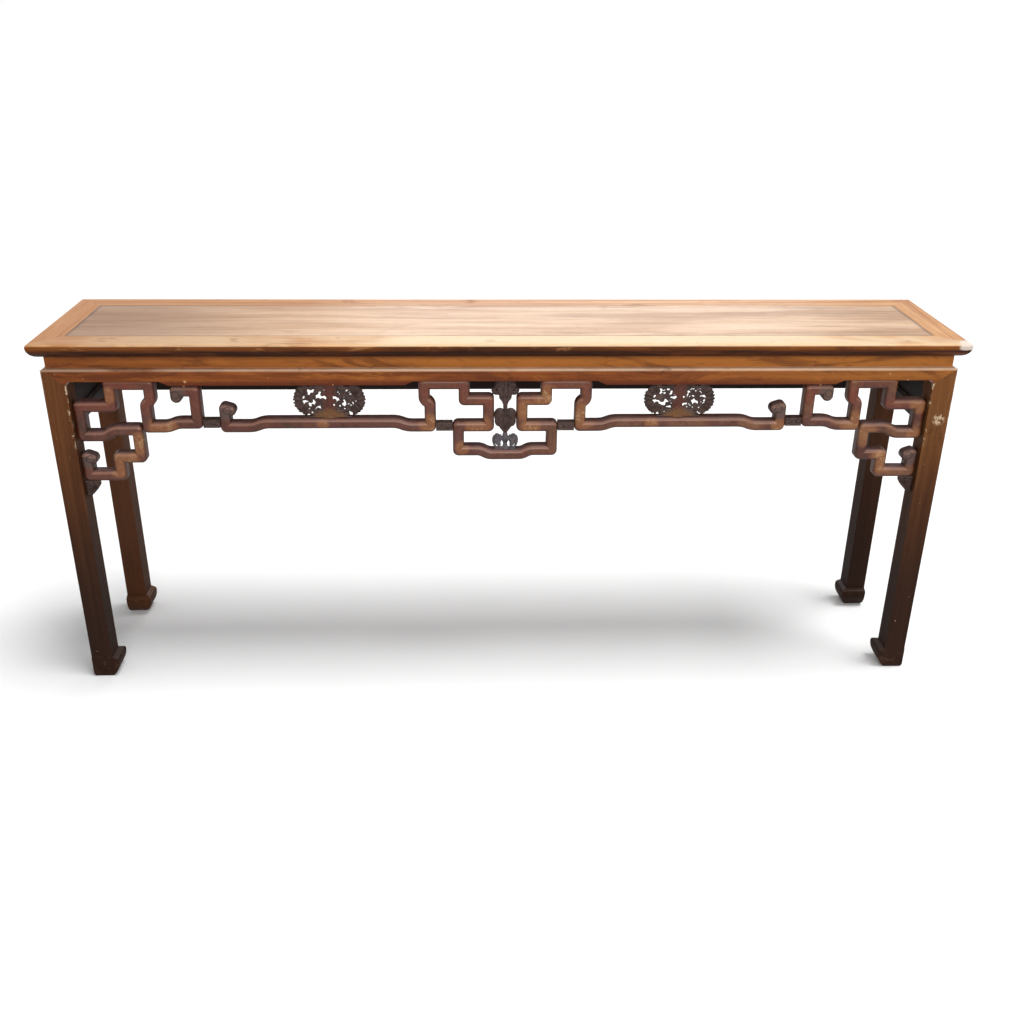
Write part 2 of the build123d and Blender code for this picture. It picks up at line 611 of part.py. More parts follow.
def spline_at(point, before, after, grow=0.0):
    """Thin key across a mitre, in the plane of the frieze."""
    across = (heading(before, point) + heading(point, after)).normalized()
    middle = at(point) + Vector(0, BAR_DEEP / 2, 0)
    key = Box(SPLINE_LONG + 2 * grow, SPLINE_WIDE + 2 * grow, SPLINE_THICK + 2 * grow, mode=Mode.PRIVATE)
    return Plane(origin=middle, x_dir=across, z_dir=(0, 1, 0)).location * key


def joined_sticks(routes, after=None):
    """Sticks of one chain, mitred and slotted where they meet, and the splines in their mitres."""
    sticks, splines = [], []
    for i, route in enumerate(routes):
        before = routes[i - 1][-2] if i else None
        beyond = routes[i + 1][1] if i + 1 < len(routes) else after
        piece = stick(route, before, beyond, curled=i == 0)
        if before:
            piece -= spline_at(route[0], before, route[1], FIT)
        if beyond:
            piece -= spline_at(route[-1], route[-2], beyond, FIT)
            splines.append(spline_at(route[-1], route[-2], beyond))
        sticks.append(piece)
    return sticks, splines


# Corner fret of the right side, from the hook at the top to the curl beside the leg.
stepped_x = STEPPED_POST_X - STEPPED_POST_SHIFT
corner_routes = [
    [(HOOK_TIP_X, HOOK_TIP_Z), (HOOK_TIP_X, HOOK_Z), (HOOK_POST_X, HOOK_Z)],
    [(HOOK_POST_X, HOOK_Z), (HOOK_POST_X, MAIN_Z)],
    [(HOOK_POST_X, MAIN_Z), (OUTER_STEP_X, MAIN_Z), (OUTER_STEP_X + STEP_RUN, LOWER_Z),
     (STEPPED_POST_X, LOWER_Z)],
    [(STEPPED_POST_X, LOWER_Z), (STEPPED_POST_X, POST_STEP_Z), (stepped_x, POST_STEP_Z + POST_STEP_RUN),
     (stepped_x, FRET_TOP_Z)],
    [(stepped_x, FRET_TOP_Z), (CORNER_POST_X, FRET_TOP_Z)],
    [(CORNER_POST_X, FRET_TOP_Z), (CORNER_POST_X, CORNER_2_Z)],
    [(CORNER_POST_X, CORNER_2_Z), (WALL_POST_X, CORNER_2_Z)],
    [(WALL_POST_X, CORNER_2_Z), (WALL_POST_X, CORNER_3_Z)],
    [(WALL_POST_X, CORNER_3_Z), (CORNER_STEP_X + CORNER_STEP_RUN, CORNER_3_Z),
     (CORNER_STEP_X, CORNER_3_Z + CORNER_3_LIFT), (LOWER_POST_X, CORNER_3_Z + CORNER_3_LIFT)],
    [(LOWER_POST_X, CORNER_3_Z + CORNER_3_LIFT), (LOWER_POST_X, CORNER_4_Z)],
    [(LOWER_POST_X, CORNER_4_Z), (CORNER_POST_X, CORNER_4_Z)],
    [(CORNER_POST_X, CORNER_4_Z), (CORNER_POST_X, CORNER_5_Z)],
    [(CORNER_POST_X, CORNER_5_Z), (WALL_POST_X, CORNER_5_Z)],
]
low_curl_route = [(WALL_POST_X - LOW_CURL_REACH, LOW_CURL_TIP_Z), (WALL_POST_X, LOW_CURL_Z),
                  (WALL_POST_X, CORNER_5_Z)]

# Middle fret of the right side, from the curl on the long bar to the hanging bar.
centre_x = CENTRE_POST_X + CENTRE_POST_SHIFT
centre_routes = [
    [(CURL_TIP_X, CURL_TIP_Z), (CURL_POST_X, CURL_Z), (CURL_POST_X, LOWER_Z)],
    [(CURL_POST_X, LOWER_Z), (LONG_STEP_OUT_X + LONG_STEP_RUN, LOWER_Z), (LONG_STEP_OUT_X, MAIN_Z),
     (LONG_STEP_IN_X, MAIN_Z), (LONG_STEP_IN_X - LONG_STEP_RUN, LOWER_Z), (CENTRE_POST_X, LOWER_Z)],
    [(CENTRE_POST_X, LOWER_Z), (CENTRE_POST_X, POST_STEP_Z), (centre_x, POST_STEP_Z + POST_STEP_RUN),
     (centre_x, FRET_TOP_Z)],
    [(centre_x, FRET_TOP_Z), (INNER_POST_X, FRET_TOP_Z)],
    [(INNER_POST_X, FRET_TOP_Z), (INNER_POST_X, HEART_TOP_Z)],
    [(INNER_POST_X, HEART_TOP_Z), (HEART_POST_X, HEART_TOP_Z)],
    [(HEART_POST_X, HEART_TOP_Z), (HEART_POST_X, LOWER_Z)],
    [(HEART_POST_X, LOWER_Z), (PENDANT_POST_X, LOWER_Z)],
    [(PENDANT_POST_X, LOWER_Z), (PENDANT_POST_X, PENDANT_Z)],
]
pendant_half = [(PENDANT_POST_X, PENDANT_Z), (PENDANT_FLAT + PENDANT_RUN, PENDANT_Z),
                (PENDANT_FLAT, PENDANT_Z - PENDANT_STEP)]
pendant_route = pendant_half + [(-x, z) for x, z in reversed(pendant_half)]

corner_sticks, corner_splines = joined_sticks(corner_routes, (WALL_POST_X, LOW_CURL_Z))
low_curl = stick(low_curl_route, after=(CORNER_POST_X, CORNER_5_Z), curled=True)
low_curl -= spline_at((WALL_POST_X, CORNER_5_Z), (CORNER_POST_X, CORNER_5_Z), (WALL_POST_X, LOW_CURL_Z), FIT)
corner_sticks.append(low_curl)
centre_sticks, centre_splines = joined_sticks(centre_routes + [pendant_route], (-PENDANT_POST_X, LOWER_Z))
pendant_bar = centre_sticks.pop()
half_splines = corner_splines + centre_splines[:-1]


# ---------------------------------------------------------------- carved pieces
def carving(outline, thick, inset=CARVING_IN):
    """Carved piece with an outline in the XZ plane, standing behind the face of the frets."""
    with BuildPart() as piece:
        with BuildSketch(Plane.XZ.offset(-FRET_FRONT - inset)):
            add(outline)
        extrude(amount=-thick)
    return piece.part


def link_block(inner, outer, level):
    """Carved block between two frets, with a raised oval on its face."""
    middle, long = (inner + outer) / 2, outer - inner
    with BuildPart() as block:
        with BuildSketch(Plane.XZ.offset(-FRET_FRONT - LINK_IN)):
            with Locations((middle, level)):
                Rectangle(long, LINK_HIGH)
        extrude(amount=LINK_IN - BAR_DEEP)
        with BuildSketch(Plane.XZ.offset(-FRET_FRONT - LINK_IN)):
            with Locations((middle, level)):
                Ellipse(long * 0.36, LINK_HIGH * 0.36)
        extrude(amount=LINK_IN / 2)
    return block.part


link_outer = link_block(CURL_POST_X + BAR / 2, HOOK_POST_X - BAR / 2, MAIN_Z)
link_inner = link_block(PENDANT_POST_X + BAR / 2, CENTRE_POST_X - BAR / 2, LOWER_Z)

# Blossom spray between the long bar and the apron: a trunk, leaves and two round blossoms.
spray_foot, spray_head = MAIN_Z + BAR / 2, APRON_FOOT
spray_mid = (spray_foot + spray_head) / 2
blossom_r = (spray_head - spray_foot) * 0.44
blossom_off = ROUNDEL_WIDE / 2 - blossom_r
with BuildSketch() as spray_outline:
    with Locations((0, spray_mid)):
        Rectangle(ROUNDEL_WIDE * 0.5, spray_head - spray_foot)
    with Locations((-blossom_off, spray_mid + 2), (blossom_off, spray_mid + 2)):
        Circle(blossom_r)
    with Locations((0, spray_mid)):
        Rectangle(ROUNDEL_WIDE, spray_head - spray_foot, mode=Mode.INTERSECT)
    with Locations((-blossom_off, spray_mid + 2), (blossom_off, spray_mid + 2)):
        with PolarLocations(blossom_r * 0.52, 5, start_angle=90):
            Circle(PETAL_R * 0.8, mode=Mode.SUBTRACT)
    with Locations((0, spray_mid)):
        with GridLocations(ROUNDEL_WIDE * 0.22, (spray_head - spray_foot) * 0.27, 2, 3):
            Circle(PETAL_R * 0.75, mode=Mode.SUBTRACT)
spray = carving(spray_outline.sketch, ROUNDEL_THICK)
spray_right = Pos(ROUNDEL_X, 0, 0) * spray

# Hanging ornament in the middle: bat, knotted ribbon, peach and cloud.
heart_half = HEART_POST_X - BAR / 2
heart_lobe = heart_half / 2
heart_level = HEART_HEAD - heart_lobe
with BuildSketch() as heart_outline:
    with Locations((-heart_lobe, heart_level), (heart_lobe, heart_level)):
        Circle(heart_lobe)
    with BuildLine():
        Polyline((-heart_half, heart_level), (0, HEART_FOOT), (heart_half, heart_level), close=True)
    make_face()
peach = carving(heart_outline.sketch, ROUNDEL_THICK)

bat_rest = HEART_TOP_Z + BAR / 2
bat_ear, ear_level = BAT_WIDE * 0.2, BAT_FOOT + PETAL_R * 3
with BuildSketch() as bat_outline:
    with Locations((0, (BAT_FOOT + APRON_RAISED) / 2)):
        Rectangle(BAT_WIDE * 0.42, APRON_RAISED - BAT_FOOT)
    with Locations((-bat_ear, ear_level), (bat_ear, ear_level)):
        Circle(PETAL_R * 2)
    with Locations((0, bat_rest + PETAL_R)):
        Rectangle(BAT_WIDE, 2 * PETAL_R)
bat = carving(bat_outline.sketch, ROUNDEL_THICK)

ribbon_head, ribbon_waist, ribbon_neck = KNOT_WIDE / 2, KNOT_WIDE * 0.38, KNOT_WIDE * 0.15
waist_level, neck_level = HEART_HEAD + BAR * 0.7, HEART_HEAD + BAR / 2
with BuildSketch() as ribbon_outline:
    with BuildLine():
        Polyline((-ribbon_head, bat_rest), (ribbon_head, bat_rest), (ribbon_waist, waist_level),
                 (ribbon_neck, neck_level), (ribbon_neck, heart_level), (-ribbon_neck, heart_level),
                 (-ribbon_neck, neck_level), (-ribbon_waist, waist_level), close=True)
    make_face()
    add(heart_outline.sketch, mode=Mode.SUBTRACT)
ribbon = carving(ribbon_outline.sketch, ROUNDEL_THICK)

cloud_rest = PENDANT_Z - PENDANT_STEP + BAR / 2
cloud_head = HEART_FOOT + PETAL_R
cloud_lobe = CLOUD_WIDE * 0.23
cloud_off = CLOUD_WIDE / 2 - cloud_lobe
cloud_foot = cloud_rest + PETAL_R * 2
with BuildSketch() as cloud_outline:
    with Locations((0, (cloud_rest + HEART_FOOT) / 2)):
        Rectangle(CLOUD_WIDE * 0.7, HEART_FOOT - cloud_rest)
    with Locations((-cloud_off, cloud_head - cloud_lobe), (cloud_off, cloud_head - cloud_lobe)):
        Circle(cloud_lobe)
    with Locations((-CLOUD_WIDE * 0.3, cloud_foot), (CLOUD_WIDE * 0.3, cloud_foot)):
        Circle(PETAL_R * 2)
    with Locations((-CLOUD_WIDE * 0.2, cloud_rest + PETAL_R), (CLOUD_WIDE * 0.2, cloud_rest + PETAL_R)):
        Circle(PETAL_R * 0.7, mode=Mode.SUBTRACT)
    add(heart_outline.sketch, mode=Mode.SUBTRACT)
cloud = carving(cloud_outline.sketch, ROUNDEL_THICK)

# Carved bracket under the lowest bar, against the leg.
bracket_top = CORNER_5_Z - BAR / 2
with BuildSketch() as bracket_outline:
    with BuildLine():
        Polyline((LEG_IN_X - BRACKET_WIDE, bracket_top), (LEG_IN_X, bracket_top),
                 (LEG_IN_X, bracket_top - BRACKET_HIGH),
                 (LEG_IN_X - BAR / 2, bracket_top - BRACKET_HIGH * 0.9),
                 (LEG_IN_X - BRACKET_WIDE * 0.6, bracket_top - BRACKET_HIGH * 0.4), close=True)
    make_face()
bracket_right = carving(bracket_outline.sketch, BRACKET_THICK)


# ---------------------------------------------------------------- dowels
def dowel(centre, direction, grow=0.0):
    """Dowel about a centre, along a direction."""
    return Plane(origin=centre, z_dir=direction).location * Cylinder(
        DOWEL_R + grow, DOWEL_LONG + 2 * grow, mode=Mode.PRIVATE)


upright, level = (0, 0, 1), (1, 0, 0)
head_bars = [((stepped_x + CORNER_POST_X) / 2, APRON_RAISED), ((centre_x + INNER_POST_X) / 2, APRON_RAISED),
             ((HOOK_TIP_X + HOOK_POST_X) / 2, (HOOK_Z + BAR / 2 + APRON_FOOT) / 2)]
head_dowels = [((x, DOWEL_Y, z), upright) for x, z in head_bars]
leg_dowels = [((LEG_IN_X, FRET_MID, z), level)
              for z in ((CORNER_2_Z + CORNER_3_Z) / 2, (CORNER_5_Z + LOW_CURL_Z) / 2)]
link_dowels = [((x, BACK_DOWEL_Y, z), level)
               for x, z in ((CURL_POST_X + BAR / 2, MAIN_Z), (HOOK_POST_X - BAR / 2, MAIN_Z),
                            (PENDANT_POST_X + BAR / 2, LOWER_Z), (CENTRE_POST_X - BAR / 2, LOWER_Z))]
post_dowels = [((STEPPED_POST_X + BAR / 2, BACK_DOWEL_Y, LOWER_Z), level)]
spray_dowels = [((ROUNDEL_X, FRET_FRONT + CARVING_IN + ROUNDEL_THICK / 2, spray_foot), upright),
                ((ROUNDEL_X, FRET_FRONT + CARVING_IN + ROUNDEL_THICK / 2, spray_head), upright)]
cloud_dowels = [((0, FRET_FRONT + CARVING_IN + ROUNDEL_THICK / 2, z), upright)
                for z in (cloud_rest, APRON_RAISED)]
right_dowels = head_dowels + leg_dowels + link_dowels + post_dowels + spray_dowels
right_sockets = [dowel(centre, direction, FIT) for centre, direction in right_dowels]
middle_sockets = [dowel(centre, direction, FIT) for centre, direction in cloud_dowels]


def socketed(piece, *cutters):
    """A piece with its sockets, grooves or mortises taken out."""
    with BuildPart() as cut:
        add(piece)
        for cutter in cutters:
            add(cutter, mode=Mode.SUBTRACT)
    return cut.part


# ---------------------------------------------------------------- fitting the pieces to each other
leg_blanks = (stretcher_tenons, frieze_board_blank)
end_mortises = [blank(LEG_IN_Y, LEG_X, FIT).rotate(Axis.Z, 90) for blank in leg_blanks]
back_mortises = [blank(LEG_IN_X, LEG_Y, FIT).rotate(Axis.Z, 180) for blank in leg_blanks]
leg_front_right = socketed(bare_leg.part, *end_mortises, *right_sockets)
leg_back_right = socketed(mirrored(bare_leg.part, Plane.XZ), *end_mortises, *back_mortises)
apron_front = socketed(apron_front, *right_sockets, *[mirrored(s, Plane.YZ) for s in right_sockets],
                       *middle_sockets)
corner_sticks = [socketed(piece, *right_sockets) for piece in corner_sticks]
centre_sticks = [socketed(piece, *right_sockets) for piece in centre_sticks]
pendant_bar = socketed(pendant_bar, *middle_sockets)
link_outer, link_inner, spray_right = [socketed(piece, *right_sockets)
                                       for piece in (link_outer, link_inner, spray_right)]
bat, cloud = [socketed(piece, *middle_sockets) for piece in (bat, cloud)]

# ---------------------------------------------------------------- nodes
single_nodes = {
    "top_rail_front": top_rail_front.part,
    "top_rail_back": top_rail_back.part,
    "top_end_right": top_end_right.part,
    "top_end_left": top_end_left.part,
    "waist_front": waist_front,
    "waist_back": mirrored(waist_front, Plane.XZ),
    "waist_right": waist_right,
    "waist_left": mirrored(waist_right, Plane.YZ),
    "apron_front": apron_front,
    "apron_back": apron_back,
    "apron_right": apron_right,
    "apron_left": mirrored(apron_right, Plane.YZ),
    "stretcher_back": stretcher_back,
    "stretcher_right": stretcher_right,
    "stretcher_left": mirrored(stretcher_right, Plane.YZ),
    "frieze_board_back": frieze_board_back,
    "frieze_board_right": frieze_board_right,
    "frieze_board_left": mirrored(frieze_board_right, Plane.YZ),
    "leg_front_right": leg_front_right,
    "leg_front_left": mirrored(leg_front_right, Plane.YZ),
    "leg_back_right": leg_back_right,
    "leg_back_left": mirrored(leg_back_right, Plane.YZ),
    "link_outer_right": link_outer,
    "link_outer_left": mirrored(link_outer, Plane.YZ),
    "link_inner_right": link_inner,
    "link_inner_left": mirrored(link_inner, Plane.YZ),
    "blossom_right": spray_right,
    "blossom_left": mirrored(spray_right, Plane.YZ),
    "bracket_right": bracket_right,
    "bracket_left": mirrored(bracket_right, Plane.YZ),
    "carved_bat": bat,
    "carved_ribbon": ribbon,
    "carved_peach": peach,
    "carved_cloud": cloud,
}
for i, name in enumerate(("front", "middle", "back")):
    single_nodes[f"panel_board_{name}"] = panel_board(i)
for i, place in enumerate(batten_places):
    single_nodes[f"batten_{i + 1}"] = batten(place)

right_groups = {
    "hook_fret": corner_sticks[:3],
    "corner_fret_upper": corner_sticks[3:8],
    "corner_fret_lower": corner_sticks[8:],
    "long_bar": centre_sticks[:2],
    "centre_fret": centre_sticks[2:],
}
group_nodes = {
    "pendant_bar": [pendant_bar],
    "fret_splines": half_splines + [mirrored(s, Plane.YZ) for s in half_splines] + [centre_splines[-1]],
    "fret_dowels": [dowel(*place) for place in right_dowels + cloud_dowels]
                   + [mirrored(dowel(*place), Plane.YZ) for place in right_dowels],
}
for name, pieces in right_groups.items():
    group_nodes[f"{name}_right"] = pieces
    group_nodes[f"{name}_left"] = [mirrored(piece, Plane.YZ) for piece in pieces]

os.makedirs("parts", exist_ok=True)
for name, piece in single_nodes.items():
    piece.label = name
    export_step(piece, f"parts/{name}.step")
for name, pieces in group_nodes.items():
    group = Compound(label=name, children=[solid for piece in pieces for solid in piece.solids()])
    export_step(group, f"parts/{name}.step")
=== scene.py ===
import math
import random

import bpy
import bmesh
from mathutils import Matrix, Vector


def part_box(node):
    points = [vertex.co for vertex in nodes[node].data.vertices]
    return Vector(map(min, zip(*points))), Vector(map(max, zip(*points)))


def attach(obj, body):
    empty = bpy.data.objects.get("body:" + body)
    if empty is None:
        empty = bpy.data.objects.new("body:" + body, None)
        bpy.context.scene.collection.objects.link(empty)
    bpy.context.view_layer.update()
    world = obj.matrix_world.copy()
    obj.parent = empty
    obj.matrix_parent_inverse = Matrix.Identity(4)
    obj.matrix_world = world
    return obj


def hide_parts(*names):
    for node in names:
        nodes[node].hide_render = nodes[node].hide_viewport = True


# An altar table in its studio: wood finishes on the solids, and carved relief in the place of the
# pierced plates of the front frieze. Places and sizes are in metres, in the frame of the part.
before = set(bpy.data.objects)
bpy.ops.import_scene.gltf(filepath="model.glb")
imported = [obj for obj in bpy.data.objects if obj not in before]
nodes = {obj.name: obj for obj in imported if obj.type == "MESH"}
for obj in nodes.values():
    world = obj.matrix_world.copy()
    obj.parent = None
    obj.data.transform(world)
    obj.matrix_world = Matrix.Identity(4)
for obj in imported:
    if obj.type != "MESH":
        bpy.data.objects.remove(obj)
scene = bpy.context.scene
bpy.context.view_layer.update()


# ---------------------------------------------------------------- sizes, from the frame
def edge(node, axis, highest=True):
    """Where a node ends or starts along an axis, to a tenth of a millimetre."""
    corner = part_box(node)[1 if highest else 0]
    return round(getattr(corner, axis), 4)


HALF_X = edge("top_end_right", "x")
HALF_Y = edge("top_end_right", "y")
TOP = edge("top_end_right", "z")
FRAME_WIDE = round(HALF_X - edge("top_end_right", "x", highest=False), 4)
FRAME_FOOT = edge("top_rail_front", "z", highest=False)
SHOULDER = edge("apron_front", "z")
APRON_FOOT = edge("apron_front", "z", highest=False)
LEG_X = edge("leg_front_right", "x")
LEG_Y = edge("leg_back_right", "y")
LEG_THICK = 0.052
LEG_INNER_X = LEG_X - LEG_THICK
LEG_INNER_Y = LEG_Y - LEG_THICK


# ---------------------------------------------------------------- camera
YAW, PITCH, ROLL = 0.041046, 0.442610, 0.010937
EYE = Vector((-0.08022, -2.56009, 1.57783))
SENSOR, LENS = 36, 38.619

ahead = Vector((math.sin(YAW) * math.cos(PITCH), math.cos(YAW) * math.cos(PITCH), -math.sin(PITCH)))
right = Vector((math.cos(YAW), -math.sin(YAW), 0))
up = right.cross(ahead)
rolled_right = math.cos(ROLL) * right + math.sin(ROLL) * up
rolled_up = math.cos(ROLL) * up - math.sin(ROLL) * right
camera = bpy.data.objects.new("camera", bpy.data.cameras.new("camera"))
scene.collection.objects.link(camera)
camera_axes = Matrix((rolled_right, rolled_up, -ahead)).transposed().to_4x4()
camera.matrix_world = Matrix.Translation(EYE) @ camera_axes
camera.data.sensor_width = SENSOR
camera.data.lens = LENS
camera.data.dof.use_dof = False
scene.camera = camera


# ---------------------------------------------------------------- light
SKY_AS_LIGHT, SKY_AS_SEEN = 0.37, 1.0
SUN_POWER, SUN_WIDTH = 2.6, math.radians(30)

scene.view_settings.view_transform = "Standard"
scene.world = bpy.data.worlds.new("studio")
scene.world.use_nodes = True
tree = scene.world.node_tree
sky = tree.nodes["Background"]
sky.inputs["Color"].default_value = (1, 1, 1, 1)
paths = tree.nodes.new("ShaderNodeLightPath").outputs
looked_at = paths["Is Camera Ray"]
for path in ("Is Transmission Ray", "Is Glossy Ray"):
    either = tree.nodes.new("ShaderNodeMath")
    either.operation = "MAXIMUM"
    tree.links.new(looked_at, either.inputs[0])
    tree.links.new(paths[path], either.inputs[1])
    looked_at = either.outputs[0]
strength = tree.nodes.new("ShaderNodeMapRange")
strength.inputs["To Min"].default_value = SKY_AS_LIGHT
strength.inputs["To Max"].default_value = SKY_AS_SEEN
tree.links.new(looked_at, strength.inputs["Value"])
tree.links.new(strength.outputs[0], sky.inputs["Strength"])


def lamp(light, place, target):
    """Hangs a light at its place, aimed at its target."""
    obj = bpy.data.objects.new(light.name, light)
    obj.location = place
    obj.rotation_euler = (Vector(target) - Vector(place)).to_track_quat("-Z", "Y").to_euler()
    scene.collection.objects.link(obj)


def softbox(name, wide, high, power):
    light = bpy.data.lights.new(name, "AREA")
    light.shape = "RECTANGLE"
    light.size, light.size_y = wide, high
    light.energy = power
    return light


overhead = bpy.data.lights.new("overhead", "SUN")
overhead.energy = SUN_POWER
overhead.angle = SUN_WIDTH
lamp(overhead, (1.3, -0.2, 4), (0, 0, 0))
lamp(softbox("front_box", 3.2, 1.6, 74), (0.5, -3.6, 2.1), (0, 0, 0.7))
lamp(softbox("back_box", 2.6, 1.0, 26), (0.5, 3.4, 2.0), (0.1, 0, TOP))


# ---------------------------------------------------------------- procedural materials
def srgb(r, g, b):
    """Linear colour from screen values out of 255."""
    linear = [((c / 255 + 0.055) / 1.055) ** 2.4 if c > 10 else c / 255 / 12.92 for c in (r, g, b)]
    return (*linear, 1.0)


def neutral(level):
    """Linear grey."""
    return (level, level, level, 1.0)


EVEN = (1, 1, 1)


class Finish:
    """One procedural material. A method adds nodes and returns an output socket; masks run from 0 to 1."""

    def __init__(self, name):
        self.material = bpy.data.materials.new(name)
        self.material.use_nodes = True
        self.tree = self.material.node_tree
        self.shader = self.tree.nodes["Principled BSDF"]
        self.place = self.node("ShaderNodeTexCoord").outputs["Object"]
        self.x, self.y, self.z = self.split(self.place)
        self.nx, self.ny, self.nz = self.split(self.node("ShaderNodeNewGeometry").outputs["Normal"])
        self.colour = None

    def node(self, kind, sockets=None, **settings):
        made = self.tree.nodes.new(kind)
        for key, value in settings.items():
            setattr(made, key, value)
        for key, value in (sockets or {}).items():
            self.feed(made.inputs[key], value)
        return made

    def feed(self, socket, value):
        if isinstance(value, bpy.types.NodeSocket):
            self.tree.links.new(value, socket)
        else:
            socket.default_value = value

    def split(self, vector):
        return self.node("ShaderNodeSeparateXYZ", {"Vector": vector}).outputs

    def calc(self, operation, *values):
        made = self.node("ShaderNodeMath", operation=operation)
        for i, value in enumerate(values):
            self.feed(made.inputs[i], value)
        return made.outputs[0]

    def sum(self, a, b):
        return self.calc("ADD", a, b)

    def less(self, a, b):
        return self.calc("SUBTRACT", a, b)

    def absolute(self, value):
        return self.calc("ABSOLUTE", value)

    def scaled(self, value, factor, offset=0.0):
        return self.calc("MULTIPLY_ADD", value, factor, offset)

    def both(self, *masks):
        value = masks[0]
        for mask in masks[1:]:
            value = self.calc("MULTIPLY", value, mask)
        return value

    def any(self, *masks):
        value = masks[0]
        for mask in masks[1:]:
            value = self.calc("MAXIMUM", value, mask)
        return value

    def rise(self, value, low, high, start=0.0, end=1.0):
        """Smooth step from start to end as value goes from low to high."""
        made = self.node("ShaderNodeMapRange", {"Value": value, "From Min": low, "From Max": high,
                         "To Min": start, "To Max": end}, interpolation_type="SMOOTHSTEP")
        return made.outputs[0]

    def near(self, value, level, reach):
        """1 at the level, falling to 0 at a distance of reach."""
        return self.rise(self.absolute(self.less(value, level)), 0.0, reach, 1.0, 0.0)

    def distance(self, place, target):
        made = self.node("ShaderNodeVectorMath", {0: place, 1: target}, operation="DISTANCE")
        return made.outputs["Value"]

    def noise(self, scale, stretch=EVEN, detail=3.0, rough=0.55, warp=0.0, seed=0.0):
        """Noise of so many waves per metre, squeezed along the axes by stretch, elsewhere for each seed."""
        moved = self.node("ShaderNodeMapping", {"Vector": self.place, "Scale": stretch,
                          "Location": (seed, seed * 1.7, seed * 0.6)})
        made = self.node("ShaderNodeTexNoise", {"Vector": moved.outputs[0], "Scale": scale, "Detail": detail,
                         "Roughness": rough, "Distortion": warp})
        return made.outputs["Fac"]

    def ramp(self, value, *stops):
        """Colours laid along a value; a stop is (value, colour)."""
        made = self.node("ShaderNodeValToRGB", {"Fac": value})
        elements = made.color_ramp.elements
        while len(elements) < len(stops):
            elements.new(0.5)
        for element, (position, colour) in zip(elements, stops):
            element.position = position
            element.color = colour
        return made.outputs["Color"]

    def mix(self, share, a, b):
        made = self.node("ShaderNodeMix", data_type="RGBA")
        self.feed(made.inputs["Factor"], share)
        self.feed(made.inputs[6], a)
        self.feed(made.inputs[7], b)
        return made.outputs[2]

    def tint(self, mask, colour, share=None):
        """Lays a colour over the finish where the mask is, at most as strong as the share."""
        if share is not None:
            mask = self.scaled(mask, share)
        self.colour = self.mix(mask, self.colour, colour)

    def finish(self, roughness, height, bump=0.4, depth=0.0006, shine=0.12):
        """Wires the shader; bump and depth raise the height, and shine is the specular level."""
        self.feed(self.shader.inputs["Base Color"], self.colour)
        self.feed(self.shader.inputs["Roughness"], roughness)
        raised = self.node("ShaderNodeBump", {"Height": height, "Strength": bump, "Distance": depth})
        self.feed(self.shader.inputs["Normal"], raised.outputs["Normal"])
        self.shader.inputs["Specular IOR Level"].default_value = shine
        return self.material


# Grain is drawn out along its axis.
ALONG = {"x": (1, 40, 40), "y": (40, 1, 40), "z": (40, 40, 1)}


def grain(f, along, seed=0.0):
    """Broad streaks, fine lines and pores along one axis."""
    streak = f.noise(1.3, ALONG[along], 4, 0.6, 0.6, seed)
    fine = f.noise(9.0, ALONG[along], 3, 0.65, 0.2, seed + 3)
    pores = f.rise(f.noise(26.0, ALONG[along], 2, 0.5, 0.0, seed + 5), 0.60, 0.70)
    return streak, fine, pores


# Cracks run the length of the panel: y, and half their width.
CRACK_LINES = (-0.095, -0.052, 0.004, 0.061, 0.112)
CRACK_REACH = 0.0011


def panel_wood():
    """Dry, paler boards: darker at both ends, the left end partly as painted shade, stained, cracked, and
    grimy where they meet the frame.
    """
    f = Finish("panel_wood")
    streak, fine, pores = grain(f, "x")
    f.colour = f.ramp(streak, (0.25, srgb(150, 108, 76)), (0.45, srgb(180, 139, 103)),
                      (0.62, srgb(198, 158, 121)), (0.8, srgb(170, 127, 92)))
    f.tint(f.rise(fine, 0.35, 0.65, 0.0, 0.35), srgb(140, 100, 68))
    worn = f.rise(f.noise(2.4, (0.8, 7, 7), 4, 0.6, 0.5, seed=7), 0.40, 0.65)
    f.tint(worn, srgb(222, 186, 150), 0.55)
    # Darker towards the left end: partly the boards' own tone, partly painted shade where the sheen on the
    # top falls off.
    left_end = f.rise(f.x, -0.95, -0.35, 1.0, 0.0)
    f.tint(left_end, srgb(112, 76, 50), 0.7)
    right_end = f.both(f.rise(f.x, 0.55, 0.85),
                       f.rise(f.noise(4.0, (0.6, 4, 4), 4, 0.6, 0.6, seed=61), 0.40, 0.60))
    f.tint(right_end, srgb(142, 104, 74), 0.5)
    stain = f.rise(f.noise(5.0, (1, 2, 2), 5, 0.7, 1.5, seed=11), 0.60, 0.72)
    f.tint(stain, srgb(112, 74, 48), 0.3)
    wavy_y = f.sum(f.y, f.scaled(f.noise(3.0, (1, 0, 0), 3, 0.6, seed=2), 0.016))
    cracks = []
    for k, level in enumerate(CRACK_LINES):
        stretches = f.rise(f.noise(1.6, (1, 0, 0), 2, 0.5, seed=k * 9), 0.44, 0.56)
        cracks.append(f.both(f.near(wavy_y, level, CRACK_REACH), stretches))
    cracks = f.any(*cracks)
    f.tint(cracks, srgb(58, 36, 24))
    grime = f.any(f.near(f.absolute(f.y), HALF_Y - FRAME_WIDE, 0.006),
                  f.near(f.absolute(f.x), HALF_X - FRAME_WIDE, 0.012))
    f.tint(grime, srgb(70, 42, 26), 0.75)
    f.tint(pores, srgb(84, 54, 36), 0.5)
    rough = f.sum(f.scaled(fine, 0.25, 0.34), f.scaled(worn, -0.06))
    height = f.less(f.sum(f.scaled(fine, 0.5), f.scaled(streak, 0.6)), f.sum(cracks, f.scaled(pores, 0.5)))
    return f.finish(rough, height, 0.5, 0.0008, shine=0.45)


